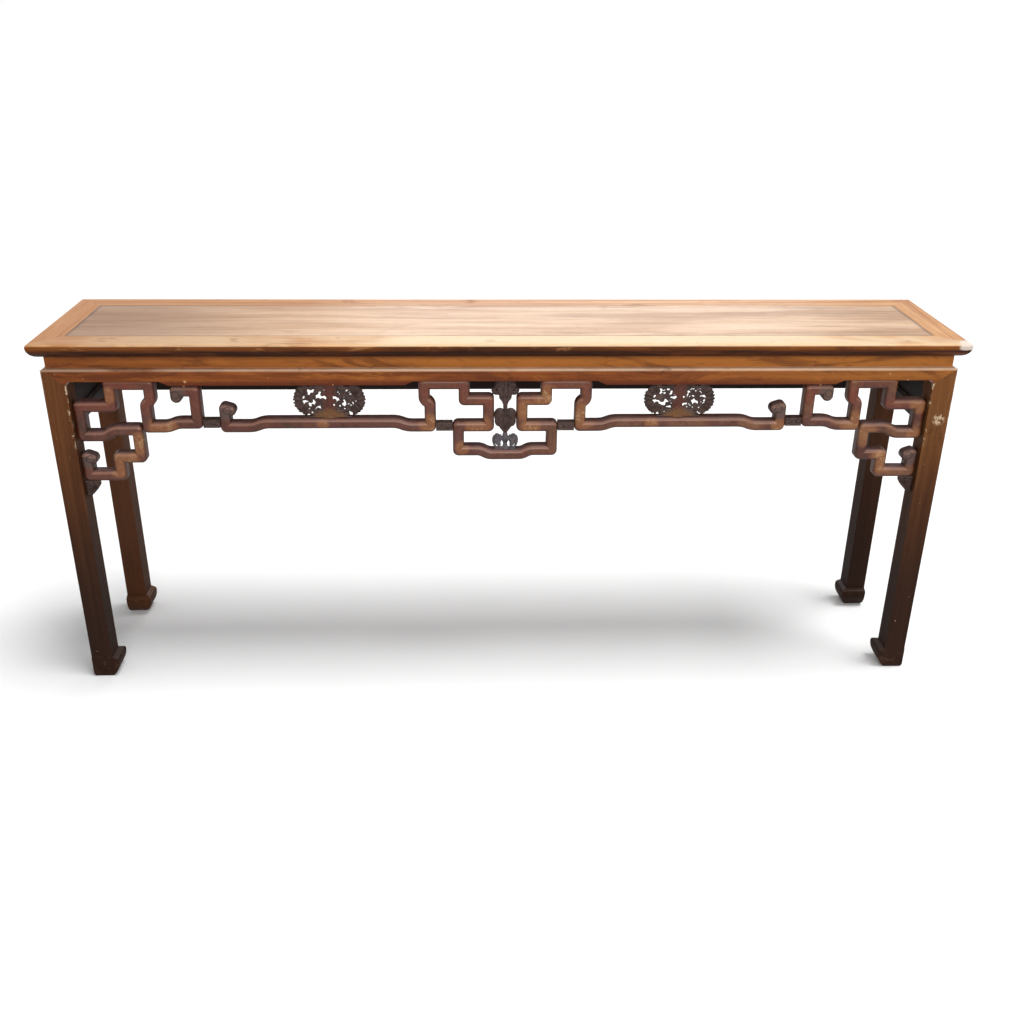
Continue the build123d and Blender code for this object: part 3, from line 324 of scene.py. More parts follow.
def frame_wood(along):
    """Golden frame, paler at the front of the front rail as painted glare and darker to the left partly as
    painted shade, with a moulding darkened as painted shade and lit along its upper half as painted light,
    worn in patches, and bare wood where the front right corner is chipped.
    """
    f = Finish("frame_wood_" + along)
    streak, fine, pores = grain(f, along, 20)
    f.colour = f.ramp(streak, (0.25, srgb(160, 104, 60)), (0.5, srgb(202, 148, 98)),
                      (0.75, srgb(224, 178, 130)))
    f.tint(f.rise(fine, 0.35, 0.65, 0.0, 0.35), srgb(128, 78, 44))
    if along == "x":
        # Paler towards the front of the front rail, broken up by noise: painted glare.
        pale = f.both(f.rise(f.y, 0.0, -0.1), f.rise(f.noise(1.6, (1, 2, 2), 3, 0.6, 0.8, seed=4), 0.3, 0.5))
        f.tint(pale, srgb(228, 204, 168), 0.75)
    # Darker towards the left: partly the wood's own tone, partly painted shade where the sheen on the top
    # falls off.
    left = f.rise(f.x, -1.05, -0.1, 1.0, 0.0)
    f.tint(left, srgb(152, 96, 54), 0.6)
    blotch = f.rise(f.noise(7.0, (1, 2, 2), 5, 0.7, 1.2, seed=31), 0.58, 0.7)
    f.tint(blotch, srgb(112, 64, 36), 0.45)
    upper_face = f.colour

    # The moulding: nearly black as painted shade under its undercut, with painted light on its rounded upper
    # half that grows towards the right and is broken up by noise, and patches of wear.
    f.colour = f.ramp(f.noise(4.0, (1, 8, 8) if along == "x" else (8, 1, 8), 4, 0.65, 1.0, seed=8),
                      (0.3, srgb(20, 6, 2)), (0.5, srgb(54, 23, 7)), (0.72, srgb(106, 56, 22)))
    rubbed_and_lit = f.rise(f.noise(3.0, (1, 2, 2), 4, 0.65, 0.8, seed=33), 0.30, 0.55, 0.25, 0.8)
    upper = f.both(f.rise(f.z, TOP - 0.019, TOP - 0.010), rubbed_and_lit)
    ends = f.sum(f.rise(f.x, 0.0, 0.9, 0.35, 0.95), f.rise(f.x, -0.9, -0.1, 0.5, 0.0))
    f.tint(f.both(upper, ends), srgb(144, 82, 34))
    worn = f.both(f.rise(f.noise(9.0, (1, 3, 3), 4, 0.7, 1.5, seed=14), 0.56, 0.66),
                  f.rise(f.z, TOP - 0.020, TOP - 0.008))
    f.tint(worn, srgb(170, 118, 74), 0.6)
    moulding = f.colour

    f.colour = f.mix(f.rise(f.z, TOP - 0.0035, TOP - 0.0065), upper_face, moulding)
    lip = f.both(f.near(f.z, TOP - 0.003, 0.0035),
                 f.rise(f.noise(5.0, EVEN, 4, 0.7, 1.0, seed=19), 0.42, 0.58))
    f.tint(lip, srgb(222, 182, 138), 0.55)
    tip = f.both(f.rise(f.x, HALF_X - 0.046, HALF_X - 0.006), f.rise(f.y, -HALF_Y + 0.046, -HALF_Y + 0.006),
                 f.rise(f.z, TOP - 0.020, TOP - 0.010))
    ragged = f.scaled(f.noise(38.0, EVEN, 5, 0.7, 0.8, seed=3), 1.3, -0.65)
    chip = f.rise(f.sum(tip, ragged), 0.30, 0.62)
    f.tint(chip, srgb(224, 210, 198), 0.9)
    f.tint(pores, srgb(74, 44, 26), 0.4)
    rough = f.sum(f.scaled(fine, 0.2, 0.30), f.scaled(blotch, 0.08))
    height = f.less(f.sum(f.scaled(fine, 0.5), f.scaled(streak, 0.5)), f.sum(chip, f.scaled(pores, 0.4)))
    return f.finish(rough, height, 0.45, 0.0007, shine=0.1)


BEAD = SHOULDER - 0.0025        # crown of the rounded shoulder


def paint_bead_highlight(f):
    """A painted highlight along the rounded shoulder of aprons and legs, stronger towards the right."""
    # Pale band at the crown of the shoulder: painted highlight.
    crown = f.both(f.near(f.z, BEAD, 0.0050),
                   f.rise(f.noise(3.0, EVEN, 4, 0.65, 0.6, seed=17), 0.24, 0.48))
    f.tint(f.both(crown, f.rise(f.x, -1.0, -0.1, 0.5, 0.85)), srgb(240, 204, 172))


def apron_wood(along):
    """Glossy orange-brown of waist and aprons, mottled, with a darker foot, small chips, painted shade at the
    top of the waist and a painted highlight along the shoulder.
    """
    f = Finish("apron_wood_" + along)
    streak, fine, pores = grain(f, along, 40)
    f.colour = f.ramp(streak, (0.25, srgb(104, 50, 18)), (0.5, srgb(138, 72, 28)), (0.75, srgb(164, 94, 40)))
    f.tint(f.rise(fine, 0.35, 0.65, 0.0, 0.35), srgb(92, 42, 16))
    right_end = f.rise(f.x, 0.25, 0.95)
    f.tint(right_end, srgb(180, 116, 50), 0.5)
    waist = f.rise(f.z, SHOULDER - 0.0005, SHOULDER + 0.0010)
    f.tint(f.both(f.scaled(waist, 0.6), f.near(f.x, 0.1, 1.6)), srgb(186, 116, 46))
    patch = f.noise(4.5, (1, 4, 4), 5, 0.7, 1.2, seed=51)
    f.tint(f.rise(patch, 0.52, 0.66, 0.0, 0.55), srgb(178, 108, 44))
    f.tint(f.rise(patch, 0.50, 0.36, 0.0, 0.6), srgb(82, 38, 15))
    # Darker at the top of the waist, under the overhang of the top: painted shade.
    f.tint(f.both(f.rise(f.z, FRAME_FOOT - 0.010, FRAME_FOOT), f.scaled(waist, 0.6)), srgb(66, 32, 14))
    # Painted highlight along the shoulder.
    paint_bead_highlight(f)
    foot = f.rise(f.z, APRON_FOOT + 0.019, APRON_FOOT + 0.001)
    f.tint(foot, srgb(84, 30, 12), 0.7)
    dirt = f.rise(f.noise(9.0, (1, 2, 2), 5, 0.7, 1.5, seed=23), 0.57, 0.72)
    f.tint(dirt, srgb(62, 30, 14), 0.5)
    chips = f.both(f.rise(f.noise(75.0, EVEN, 2, 0.5, 0.3, seed=29), 0.745, 0.76),
                   f.rise(f.z, SHOULDER + 0.001, SHOULDER - 0.009))
    f.tint(chips, srgb(206, 158, 108), 0.8)
    f.tint(pores, srgb(70, 34, 16), 0.35)
    rough = f.sum(f.scaled(fine, 0.16, 0.22), f.sum(f.scaled(dirt, 0.15), f.scaled(chips, 0.3)))
    height = f.less(f.sum(f.scaled(fine, 0.35), f.scaled(streak, 0.6)),
                    f.sum(f.scaled(chips, 1.2), f.scaled(pores, 0.3)))
    return f.finish(rough, height, 0.35, 0.0006, shine=0.14)


# The knock on the face of the front right leg.
BRUISE = (1.012, -LEG_Y, 0.684)


def leg_wood():
    """Brown at the top and nearly black at the feet, with worn corners and chipped inner edges, a painted
    highlight high on the front right leg and along the shoulder, and painted shade on its side faces.
    """
    f = Finish("leg_wood")
    streak, fine, pores = grain(f, "z", 60)
    head = f.ramp(streak, (0.2, srgb(88, 48, 25)), (0.55, srgb(114, 69, 38)), (0.9, srgb(132, 84, 48)))
    foot = f.ramp(streak, (0.2, srgb(34, 18, 10)), (0.55, srgb(48, 27, 16)), (0.9, srgb(60, 35, 21)))
    uneven_z = f.sum(f.z, f.scaled(f.noise(3.0, EVEN, 3, 0.6, 0.5, seed=5), 0.3, -0.15))
    f.colour = f.mix(f.rise(uneven_z, 0.15, 0.90), foot, head)
    f.tint(f.rise(fine, 0.35, 0.65, 0.0, 0.25), srgb(38, 20, 11))
    # Paler upper part of the front right leg: painted highlight.
    front_right_highlight = f.both(f.rise(f.x, 0.3, 0.6), f.rise(f.z, 0.45, 0.75), f.rise(f.y, 0.05, -0.05))
    f.tint(front_right_highlight, srgb(172, 116, 64), 0.22)
    back_left = f.both(f.rise(f.x, -0.3, -0.6), f.rise(f.y, -0.05, 0.05))
    f.tint(back_left, srgb(136, 84, 54), 0.25)
    back_right = f.both(f.rise(f.x, 0.3, 0.6), f.rise(f.y, -0.05, 0.05))
    f.tint(back_right, srgb(30, 12, 2), 0.4)
    dirt = f.rise(f.noise(10.0, (1, 1, 0.4), 5, 0.7, 1.4, seed=9), 0.55, 0.72)
    f.tint(dirt, srgb(26, 14, 9), 0.55)
    out_x, out_y = f.absolute(f.x), f.absolute(f.y)
    arris = f.any(f.both(f.near(out_x, LEG_X, 0.004), f.near(out_y, LEG_Y, 0.004)),
                  f.both(f.near(out_x, LEG_INNER_X, 0.004), f.near(out_y, LEG_Y, 0.0035)),
                  f.both(f.near(out_x, LEG_X, 0.0035), f.near(out_y, LEG_INNER_Y, 0.004)))
    rubbed_and_lit = f.both(arris, f.rise(f.noise(16.0, (1, 1, 0.35), 4, 0.7, 1.0, seed=13), 0.48, 0.6))
    f.tint(f.both(f.scaled(rubbed_and_lit, 0.6), f.rise(f.z, 0.3, 0.7)), srgb(134, 86, 50))
    loose = f.sum(f.noise(70.0, (1, 1, 0.6), 3, 0.6, 0.4, seed=37), f.rise(f.z, 0.70, 0.78, 0.0, 0.10))
    chips = f.both(f.any(f.near(out_x, LEG_INNER_X, 0.007), f.scaled(arris, 0.8)),
                   f.near(out_y, LEG_Y, 0.012), f.rise(loose, 0.57, 0.61), f.rise(f.z, 0.60, 0.66))
    bruised = f.both(f.rise(f.distance(f.place, BRUISE), 0.018, 0.008),
                     f.rise(f.noise(130.0, EVEN, 3, 0.6, 0.6, seed=53), 0.47, 0.55))
    specks = f.rise(f.noise(170.0, EVEN, 1, 0.5, seed=41), 0.80, 0.82)
    flakes = f.any(chips, f.any(specks, f.scaled(bruised, 0.8)))
    f.tint(flakes, srgb(216, 190, 156))
    # Painted highlight along the shoulder.
    paint_bead_highlight(f)
    scuffs = f.both(f.rise(f.z, 0.09, 0.02), f.rise(f.noise(30.0, EVEN, 4, 0.7, 1.0, seed=43), 0.52, 0.62))
    f.tint(scuffs, srgb(96, 74, 58), 0.35)
    f.tint(pores, srgb(30, 16, 10), 0.4)
    # Side faces darker: painted shade.
    shaded_sides = f.rise(f.absolute(f.nx), 0.6, 0.95)
    f.tint(shaded_sides, srgb(24, 13, 9), 0.45)
    rough = f.sum(f.scaled(fine, 0.18, 0.26),
                  f.any(f.scaled(dirt, 0.15), f.scaled(scuffs, 0.3), f.scaled(shaded_sides, 0.35)))
    height = f.less(f.sum(f.scaled(fine, 0.4), f.scaled(streak, 0.6)),
                    f.sum(f.scaled(flakes, 1.0), f.scaled(pores, 0.3)))
    return f.finish(rough, height, 0.4, 0.0007, shine=0.08)


# Places along the frets where hands and dusting have worn the lacquer: x, z and reach.
WORN_PLACES = ((-0.785, 0.664, 0.050), (-0.848, 0.625, 0.045), (-0.880, 0.590, 0.050), (-0.900, 0.560, 0.030),
               (-0.897, 0.745, 0.032), (-0.175, 0.672, 0.040), (-0.062, 0.668, 0.050), (-0.100, 0.612, 0.030),
               (0.052, 0.705, 0.040), (0.094, 0.735, 0.050), (0.060, 0.664, 0.035), (0.182, 0.690, 0.050),
               (0.640, 0.664, 0.030), (0.812, 0.672, 0.045), (0.850, 0.640, 0.045), (0.898, 0.575, 0.050),
               (0.965, 0.715, 0.035), (0.965, 0.640, 0.030), (0.340, 0.673, 0.025), (-0.420, 0.673, 0.022))
# Curled ends of the right half, grey and unlacquered, as on the left: x, z and reach.
CURLED_ENDS = ((0.749, 0.744, 0.030), (0.636, 0.706, 0.030), (0.962, 0.588, 0.030))


def fret_wood():
    """Red-brown lacquer, golden to the right and dusty on top, with a groove round each curled end drawn by
    bump and painted shade, a painted highlight on the upper front faces and painted shade on the undersides
    and side faces.
    """
    f = Finish("fret_wood")
    cloud = f.noise(12.0, EVEN, 5, 0.65, 1.2, seed=2)
    f.colour = f.ramp(cloud, (0.3, srgb(52, 24, 17)), (0.48, srgb(92, 44, 30)), (0.62, srgb(88, 50, 44)),
                      (0.75, srgb(116, 66, 46)))
    red = f.both(f.rise(f.z, 0.68, 0.74),
                 f.rise(f.noise(6.0, EVEN, 4, 0.6, 1.0, seed=27), 0.36, 0.58, 0.0, 0.6))
    f.tint(red, srgb(128, 54, 32))
    golden = f.both(f.rise(f.x, -0.25, 0.80, 0.15, 0.9),
                    f.rise(f.noise(7.0, EVEN, 4, 0.6, 1.0, seed=12), 0.35, 0.6))
    f.tint(golden, srgb(134, 90, 58))
    fibre = f.noise(120.0, EVEN, 3, 0.6, 0.5, seed=6)
    f.tint(f.rise(fibre, 0.4, 0.65, 0.0, 0.3), srgb(60, 30, 22))

    in_frieze = f.node("ShaderNodeCombineXYZ", {"X": f.x, "Y": 0.0, "Z": f.z}).outputs[0]
    worn_places = [f.rise(f.distance(in_frieze, (x, 0, z)), reach * 0.35, reach, 1.0, 0.0)
                   for x, z, reach in WORN_PLACES]
    handled = f.sum(f.any(*worn_places), f.scaled(f.noise(9.0, EVEN, 4, 0.7, 1.4, seed=15), 1.0, -0.5))
    worn = f.both(f.rise(handled, 0.3, 0.9), f.rise(f.ny, 0.1, -0.6))
    f.tint(worn, srgb(150, 96, 54), 0.6)
    flaked = f.both(f.rise(handled, 0.75, 1.15),
                    f.rise(f.noise(60.0, EVEN, 5, 0.75, 1.2, seed=18), 0.50, 0.64))
    f.tint(flaked, srgb(200, 160, 112), 0.65)

    in_half = f.node("ShaderNodeCombineXYZ", {"X": f.absolute(f.x), "Y": 0.0, "Z": f.z}).outputs[0]
    curls = [(f.distance(in_half, (x, 0, z)), reach) for x, z, reach in CURLED_ENDS]
    grey = f.any(*[f.rise(off, reach * 0.6, reach, 1.0, 0.0) for off, reach in curls])
    f.tint(grey, srgb(82, 70, 66), 0.7)
    # A dark ring round each curled end, with a bump: partly grime, partly painted shade of a groove that the
    # geometry does not have.
    groove = f.any(*[f.near(off, 0.0085, 0.0024) for off, reach in curls])

    # Upper front faces lighter: painted highlight.
    rubbed_and_lit = f.both(f.rise(f.nz, 0.0, 0.45), f.rise(f.nz, 0.95, 0.6), f.rise(f.ny, -0.1, -0.6))
    f.tint(rubbed_and_lit, srgb(172, 128, 108), 0.45)
    # Undersides and side faces darker: painted shade.
    shaded_sides = f.any(f.rise(f.nz, -0.15, -0.7), f.rise(f.absolute(f.nx), 0.55, 0.95))
    f.tint(shaded_sides, srgb(46, 26, 22), 0.6)
    dust = f.both(f.rise(f.nz, 0.6, 0.95), f.rise(f.noise(40.0, EVEN, 4, 0.7, 0.6, seed=21), 0.2, 0.55))
    f.tint(dust, srgb(118, 98, 98), 0.6)
    f.tint(groove, srgb(22, 14, 12), 0.65)
    rough = f.sum(f.scaled(cloud, 0.2, 0.16),
                  f.any(f.scaled(dust, 0.25), f.scaled(grey, 0.25), f.scaled(shaded_sides, 0.3)))
    height = f.less(f.sum(f.scaled(fibre, 0.4), f.scaled(cloud, 0.8)),
                    f.any(f.scaled(worn, 0.4), f.scaled(flaked, 0.6), f.scaled(groove, 2.0)))
    return f.finish(rough, height, 0.45, 0.0008, shine=0.3)


def carved_wood(name, middle=None, tone=srgb(66, 48, 43), ridges=srgb(142, 122, 112)):
    """Dusty carved wood, darker in its hollows as painted shade and paler on its ridges as painted highlight;
    a piece with a middle has a redder trunk there, golden at its foot.
    """
    f = Finish(name)
    cloud = f.noise(45.0, EVEN, 5, 0.65, 1.0, seed=2)
    f.colour = f.ramp(cloud, (0.3, srgb(36, 25, 22)), (0.5, tone), (0.72, srgb(98, 76, 69)))
    if middle is not None:
        off = f.absolute(f.less(f.x, middle))
        trunk = f.rise(f.sum(off, f.scaled(cloud, 0.012, -0.006)), 0.010, 0.018, 1.0, 0.0)
        f.tint(trunk, srgb(98, 50, 38), 0.75)
        roots = f.both(f.rise(off, 0.045, 0.025), f.rise(f.sum(f.z, f.scaled(off, 0.35)), 0.716, 0.702))
        f.tint(roots, srgb(128, 88, 48), 0.7)
    fibre = f.noise(260.0, EVEN, 3, 0.6, 0.4, seed=6)
    f.tint(f.rise(fibre, 0.4, 0.65, 0.0, 0.35), srgb(52, 38, 34))
    # Darker in the hollows as painted shade, and paler on the ridges as painted highlight, both from the
    # pointiness of the mesh.
    sharpness = f.node("ShaderNodeNewGeometry").outputs["Pointiness"]
    f.tint(f.rise(sharpness, 0.40, 0.485, 1.0, 0.0), srgb(20, 14, 13), 0.85)
    f.tint(f.rise(sharpness, 0.53, 0.62), ridges, 0.65)
    dust = f.both(f.rise(f.nz, 0.1, 0.8), f.rise(f.noise(90.0, EVEN, 4, 0.7, 0.6, seed=21), 0.3, 0.6))
    f.tint(dust, srgb(122, 106, 100), 0.5)
    height = f.sum(f.scaled(fibre, 0.5), f.scaled(cloud, 0.5))
    return f.finish(f.scaled(cloud, 0.3, 0.34), height, 0.5, 0.0005, shine=0.2)


def shaded_inside_wood(name, along):
    """Back and ends: nearly black within, as painted shade of the unlit inside, brown on the outside, dusty
    on top.
    """
    f = Finish(name)
    streak, fine, pores = grain(f, along, 80)
    f.colour = f.ramp(streak, (0.3, srgb(18, 10, 8)), (0.6, srgb(34, 20, 15)), (0.85, srgb(52, 32, 24)))
    # Inward faces keep the near-black painted shade; outward faces turn brown.
    outside = f.any(f.rise(f.calc("MULTIPLY", f.nx, f.x), 0.5, 0.8),
                    f.rise(f.calc("MULTIPLY", f.ny, f.y), 0.08, 0.13))
    f.tint(outside, f.ramp(streak, (0.3, srgb(64, 34, 20)), (0.6, srgb(92, 52, 30)),
                           (0.85, srgb(112, 66, 38))))
    f.tint(f.rise(fine, 0.4, 0.65, 0.0, 0.35), srgb(24, 14, 12))
    dust = f.both(f.rise(f.nz, 0.4, 0.9), f.rise(f.noise(20.0, EVEN, 4, 0.7, 0.6, seed=21), 0.2, 0.55))
    f.tint(dust, srgb(132, 122, 118), 0.8)
    height = f.less(f.scaled(streak, 0.7), f.scaled(pores, 0.4))
    return f.finish(f.scaled(fine, 0.25, 0.5), height, 0.5, 0.0008)


def pin_wood():
    """Pale wood of keys and dowels."""
    f = Finish("pin_wood")
    streak, fine, _ = grain(f, "x", 90)
    f.colour = f.ramp(streak, (0.3, srgb(150, 110, 74)), (0.7, srgb(186, 146, 104)))
    return f.finish(f.scaled(fine, 0.2, 0.5), fine, 0.3, 0.0004)


def middle_of(node):
    return sum(corner.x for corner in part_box(node)) / 2


FINISHES = (
    (panel_wood(), ("panel_board",)),
    (frame_wood("x"), ("top_rail",)),
    (frame_wood("y"), ("top_end",)),
    (apron_wood("x"), ("waist_front", "waist_back", "apron_front", "apron_back")),
    (apron_wood("y"), ("waist_left", "waist_right", "apron_left", "apron_right")),
    (leg_wood(), ("leg_",)),
    (shaded_inside_wood("shaded_inside_wood_x", "x"), ("stretcher_back", "frieze_board_back")),
    (shaded_inside_wood("shaded_inside_wood_y", "y"), ("stretcher_left", "stretcher_right", "frieze_board_left",
                                     "frieze_board_right", "batten")),
    (fret_wood(), ("hook_fret", "corner_fret", "centre_fret", "long_bar", "pendant_bar")),
    (carved_wood("carved_wood"), ("carved", "link", "bracket")),
    (carved_wood("blossom_wood_left", middle_of("blossom_left")), ("blossom_left",)),
    (carved_wood("blossom_wood_right", middle_of("blossom_right")), ("blossom_right",)),
    (pin_wood(), ("fret_splines", "fret_dowels")),
)


def finish_of(name):
    """The finish of a node, by the start of its name."""
    return next(finish for finish, starts in FINISHES if name.startswith(starts))


for name, obj in nodes.items():
    obj.data.materials.clear()
    obj.data.materials.append(finish_of(name))


# ---------------------------------------------------------------- carved pieces, shaped in millimetres
MM = 0.001
STRAND_SIDES, LUMP_SIDES = 10, 16
LONG_ROUTE = 7
STEPS, STEPS_ON_LONG_ROUTE = 6, 2
LUMP_LEVELS = [math.radians(degrees) for degrees in range(6, 175, 14)]


def round_angles(count):
    return [k * math.pi / (count / 2) for k in range(count)]


class Carving:
    """A carved piece built up from strands, lumps and slabs, then fused into one skin.

    Places are (across, up) in mm from the middle of the solid it is dressed over, and depth is
    in mm behind its front.
    """

    def __init__(self, node):
        self.node = node
        self.low, self.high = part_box(node)
        self.middle = (self.low + self.high) / 2
        self.half_wide = (self.high.x - self.low.x) / 2 / MM
        self.half_high = (self.high.z - self.low.z) / 2 / MM
        self.shape = bmesh.new()

    def spot(self, across, up, depth=6.0):
        return Vector((self.middle.x + across * MM, self.low.y + depth * MM, self.middle.z + up * MM))

    def skin(self, rings):
        """Closed tube through equal rings of vertices."""
        for one, two in zip(rings, rings[1:]):
            for k in range(len(one)):
                self.shape.faces.new((one[k], one[k - 1], two[k - 1], two[k]))
        self.shape.faces.new(rings[0])
        self.shape.faces.new(reversed(rings[-1]))

    def strand(self, route, radii, depth=6.0, flat=0.8):
        """Round strand on a smooth curve through (across, up) or (across, up, depth) points.

        The radii in mm are spread evenly along it, and flat is its depth over its width.
        """
        steps = STEPS if len(route) < LONG_ROUTE else STEPS_ON_LONG_ROUTE
        spots = [self.spot(*point, depth) if len(point) == 2 else self.spot(*point) for point in route]
        spots = [spots[0]] + spots + [spots[-1]]
        path, widths = [], []
        for i in range(1, len(spots) - 2):
            a, b, c, d = spots[i - 1:i + 3]
            at_end = i == len(spots) - 3
            for k in range(steps + 1 if at_end else steps):
                t = k / steps
                path.append(0.5 * (2 * b + (c - a) * t + (2 * a - 5 * b + 4 * c - d) * t * t
                                   + (3 * b - a - 3 * c + d) * t ** 3))
                among_radii = (i - 1 + t) / (len(route) - 1) * (len(radii) - 1)
                j = min(int(among_radii), len(radii) - 2)
                widths.append((radii[j] + (radii[j + 1] - radii[j]) * (among_radii - j)) * MM)
        rings = []
        for i, (place, wide) in enumerate(zip(path, widths)):
            along = (path[min(i + 1, len(path) - 1)] - path[max(i - 1, 0)]).normalized()
            side = along.cross(Vector((0, 1, 0))).normalized()
            deep = side.cross(along)
            ring = [place + side * wide * math.cos(a) + deep * wide * flat * math.sin(a)
                    for a in round_angles(STRAND_SIDES)]
            rings.append([self.shape.verts.new(point) for point in ring])
        self.skin(rings)

    def lump(self, across, up, wide, high, deep, depth=7.0, turn=0.0):
        """Ellipsoid with half sizes in mm, turned in the plane of the frieze by degrees."""
        size = Matrix.Diagonal((wide * MM, deep * MM, high * MM, 1))
        turned = Matrix.Rotation(math.radians(-turn), 4, "Y")
        place = Matrix.Translation(self.spot(across, up, depth)) @ turned @ size
        rings = []
        for level in LUMP_LEVELS:
            reach, height = math.sin(level), math.cos(level)
            ring = [Vector((reach * math.cos(a), reach * math.sin(a), height))
                    for a in round_angles(LUMP_SIDES)]
            rings.append([self.shape.verts.new(place @ point) for point in ring])
        self.skin(rings)

    def slab(self, outline, depth, thick):
        """Flat piece with an outline of (across, up) points."""
        face = [self.shape.verts.new(self.spot(*point, depth)) for point in outline]
        back = [self.shape.verts.new(self.spot(*point, depth + thick)) for point in outline]
        self.shape.faces.new(face)
        self.shape.faces.new(reversed(back))
        for k in range(len(face)):
            self.shape.faces.new((face[k - 1], face[k], back[k], back[k - 1]))

    def curl(self, across, up, radius, turns, thick, hand=1, start=0.0, depth=4.0):
        """Spiral scroll, closing in on a round eye."""
        count = int(10 * turns)
        route = []
        for k in range(count + 1):
            angle = math.radians(start) + hand * k / 10 * 2 * math.pi
            reach = radius * (1 - 0.8 * k / count)
            route.append((across + reach * math.cos(angle), up + reach * math.sin(angle)))
        self.strand(route, (thick, thick * 0.75), depth)
        self.lump(across, up, thick * 1.1, thick * 1.1, thick * 1.1, depth)

    def fused(self, cell):
        """What was laid as one mesh, with details down to a cell in mm."""
        mesh = bpy.data.meshes.new(self.node + "_carved")
        bmesh.ops.recalc_face_normals(self.shape, faces=self.shape.faces)
        self.shape.to_mesh(mesh)
        self.shape.free()
        rough = bpy.data.objects.new("rough", mesh)
        scene.collection.objects.link(rough)
        remesh = rough.modifiers.new("fused", "REMESH")
        remesh.mode = "VOXEL"
        remesh.voxel_size = cell * MM
        soft = rough.modifiers.new("soft", "SMOOTH")
        soft.factor = 0.5
        soft.iterations = 2
        bpy.context.view_layer.update()
        shown = bpy.data.meshes.new_from_object(
            rough.evaluated_get(bpy.context.evaluated_depsgraph_get()))
        bpy.data.objects.remove(rough)
        return shown

    def finish(self, cell, finish):
        """Keeps the fused piece within the solid's own reach, and puts it in the solid's place."""
        shown = self.fused(cell)
        for vertex in shown.vertices:
            vertex.co.x = min(max(vertex.co.x, self.low.x - MM), self.high.x + MM)
            vertex.co.y = min(max(vertex.co.y, self.low.y - MM), self.high.y + MM)
            vertex.co.z = min(max(vertex.co.z, self.low.z), self.high.z)
        for polygon in shown.polygons:
            polygon.use_smooth = True
        shown.materials.clear()
        shown.materials.append(finish)
        piece = bpy.data.objects.new(self.node + "_carved", shown)
        scene.collection.objects.link(piece)
        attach(piece, "root")
        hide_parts(self.node)


HEART_TO_RIM = 34        # from the middle of a blossom to the end of its solid


def blossom_half(c, chance, side):
    """One blossom with its leaves; side is the way it grows from the trunk."""
    top, foot = c.half_high, -c.half_high
    heart = side * (c.half_wide - HEART_TO_RIM)

    # fluted petals round the heart, their notched rim, and the bowl behind them
    for k in range(7):
        angle = math.radians(-78 + 26 * k + chance.uniform(-4, 4))
        cos, sin = math.cos(angle), math.sin(angle)
        across, up = heart + side * 21 * cos, 1 + 25 * sin
        c.lump(across, up, 11, 6.5, 5.5, 7.5, math.degrees(angle) * side)
        c.strand([(heart + side * 12 * cos, 1 + 13 * sin, 3.5), (across, up, 1.5),
                  (heart + side * 33 * cos, 1 + 37 * sin, 4.5)], (1.3, 1.8, 1.2), 3, 1)
    for k in range(13):
        angle = math.radians(-81 + 13.5 * k)
        out = math.degrees(angle) * side
        c.lump(heart + side * 29.5 * math.cos(angle), 1 + 34.5 * math.sin(angle), chance.uniform(3.4, 4.8),
               chance.uniform(2.0, 3.6), 3.6, 7.5, -out + chance.uniform(-25, 25))
    c.strand([(heart + side * 8, -30), (heart + side * 19, -16), (heart + side * 21, 2),
              (heart + side * 17, 19), (heart + side * 6, 31)], (4, 8, 8.5, 8, 5), 8, 0.55)

    # curled leaves between trunk and blossom, and the twigs that carry them
    for row in range(5):
        for column in range(4):
            across = 14 + 12.5 * column + chance.uniform(-2, 2)
            level = -29 + 14 * row + 6 * (column % 2) + chance.uniform(-2.5, 2.5)
            c.curl(side * across, level, chance.uniform(6.2, 8.0), 1.15, chance.uniform(2.1, 2.8),
                   chance.choice((-1, 1)), chance.uniform(0, 360), chance.uniform(3.5, 6))
    for level, bow in ((-27, -6), (-13, 7), (1, -7), (15, 8), (29, -4)):
        c.strand([(side * 5, level * 0.6, 7), (side * 20, level + bow, 5.5),
                  (side * 36, level - bow * 0.6, 5), (heart + side * 12, level * 0.95, 6)],
                 (3.4, 1.9, 2.6, 2.6), 5, 1)

    # roots fanning out at the foot, and the branches at the top
    for across, level, wide in ((50, foot + 2, 2.6), (46, foot + 9, 2.8), (37, foot + 16, 2.8),
                                (26, foot + 22, 2.6), (14, foot + 26, 2.4)):
        halfway = foot + 3 + (level - foot) * 0.72
        c.strand([(side * 2, foot + 3), (side * across * 0.5, halfway), (side * across, level)],
                 (3.4, wide + 0.6, 1.4), 3.5, 0.8)
    c.strand([(side * 4, top - 5), (side * 26, top - 3), (side * 56, top - 4)], (6, 3.4, 2.6), 7, 0.9)
    c.strand([(side * 10, top - 14), (side * 24, top - 9), (side * 30, top - 1)], (2.6, 3.4, 3), 5, 0.8)


def blossom(node, seed):
    """Two fluted blossoms and their pierced leaves, growing from one trunk."""
    c = Carving(node)
    chance = random.Random(seed)
    top, foot = c.half_high, -c.half_high
    c.strand([(0, foot), (-1, foot * 0.6), (1, 0), (0, top * 0.5), (2, top)], (15, 9, 7.5, 9, 19), 7, 0.6)
    for side in (-1, 1):
        blossom_half(c, chance, side)
    c.finish(0.9, finish_of(node))


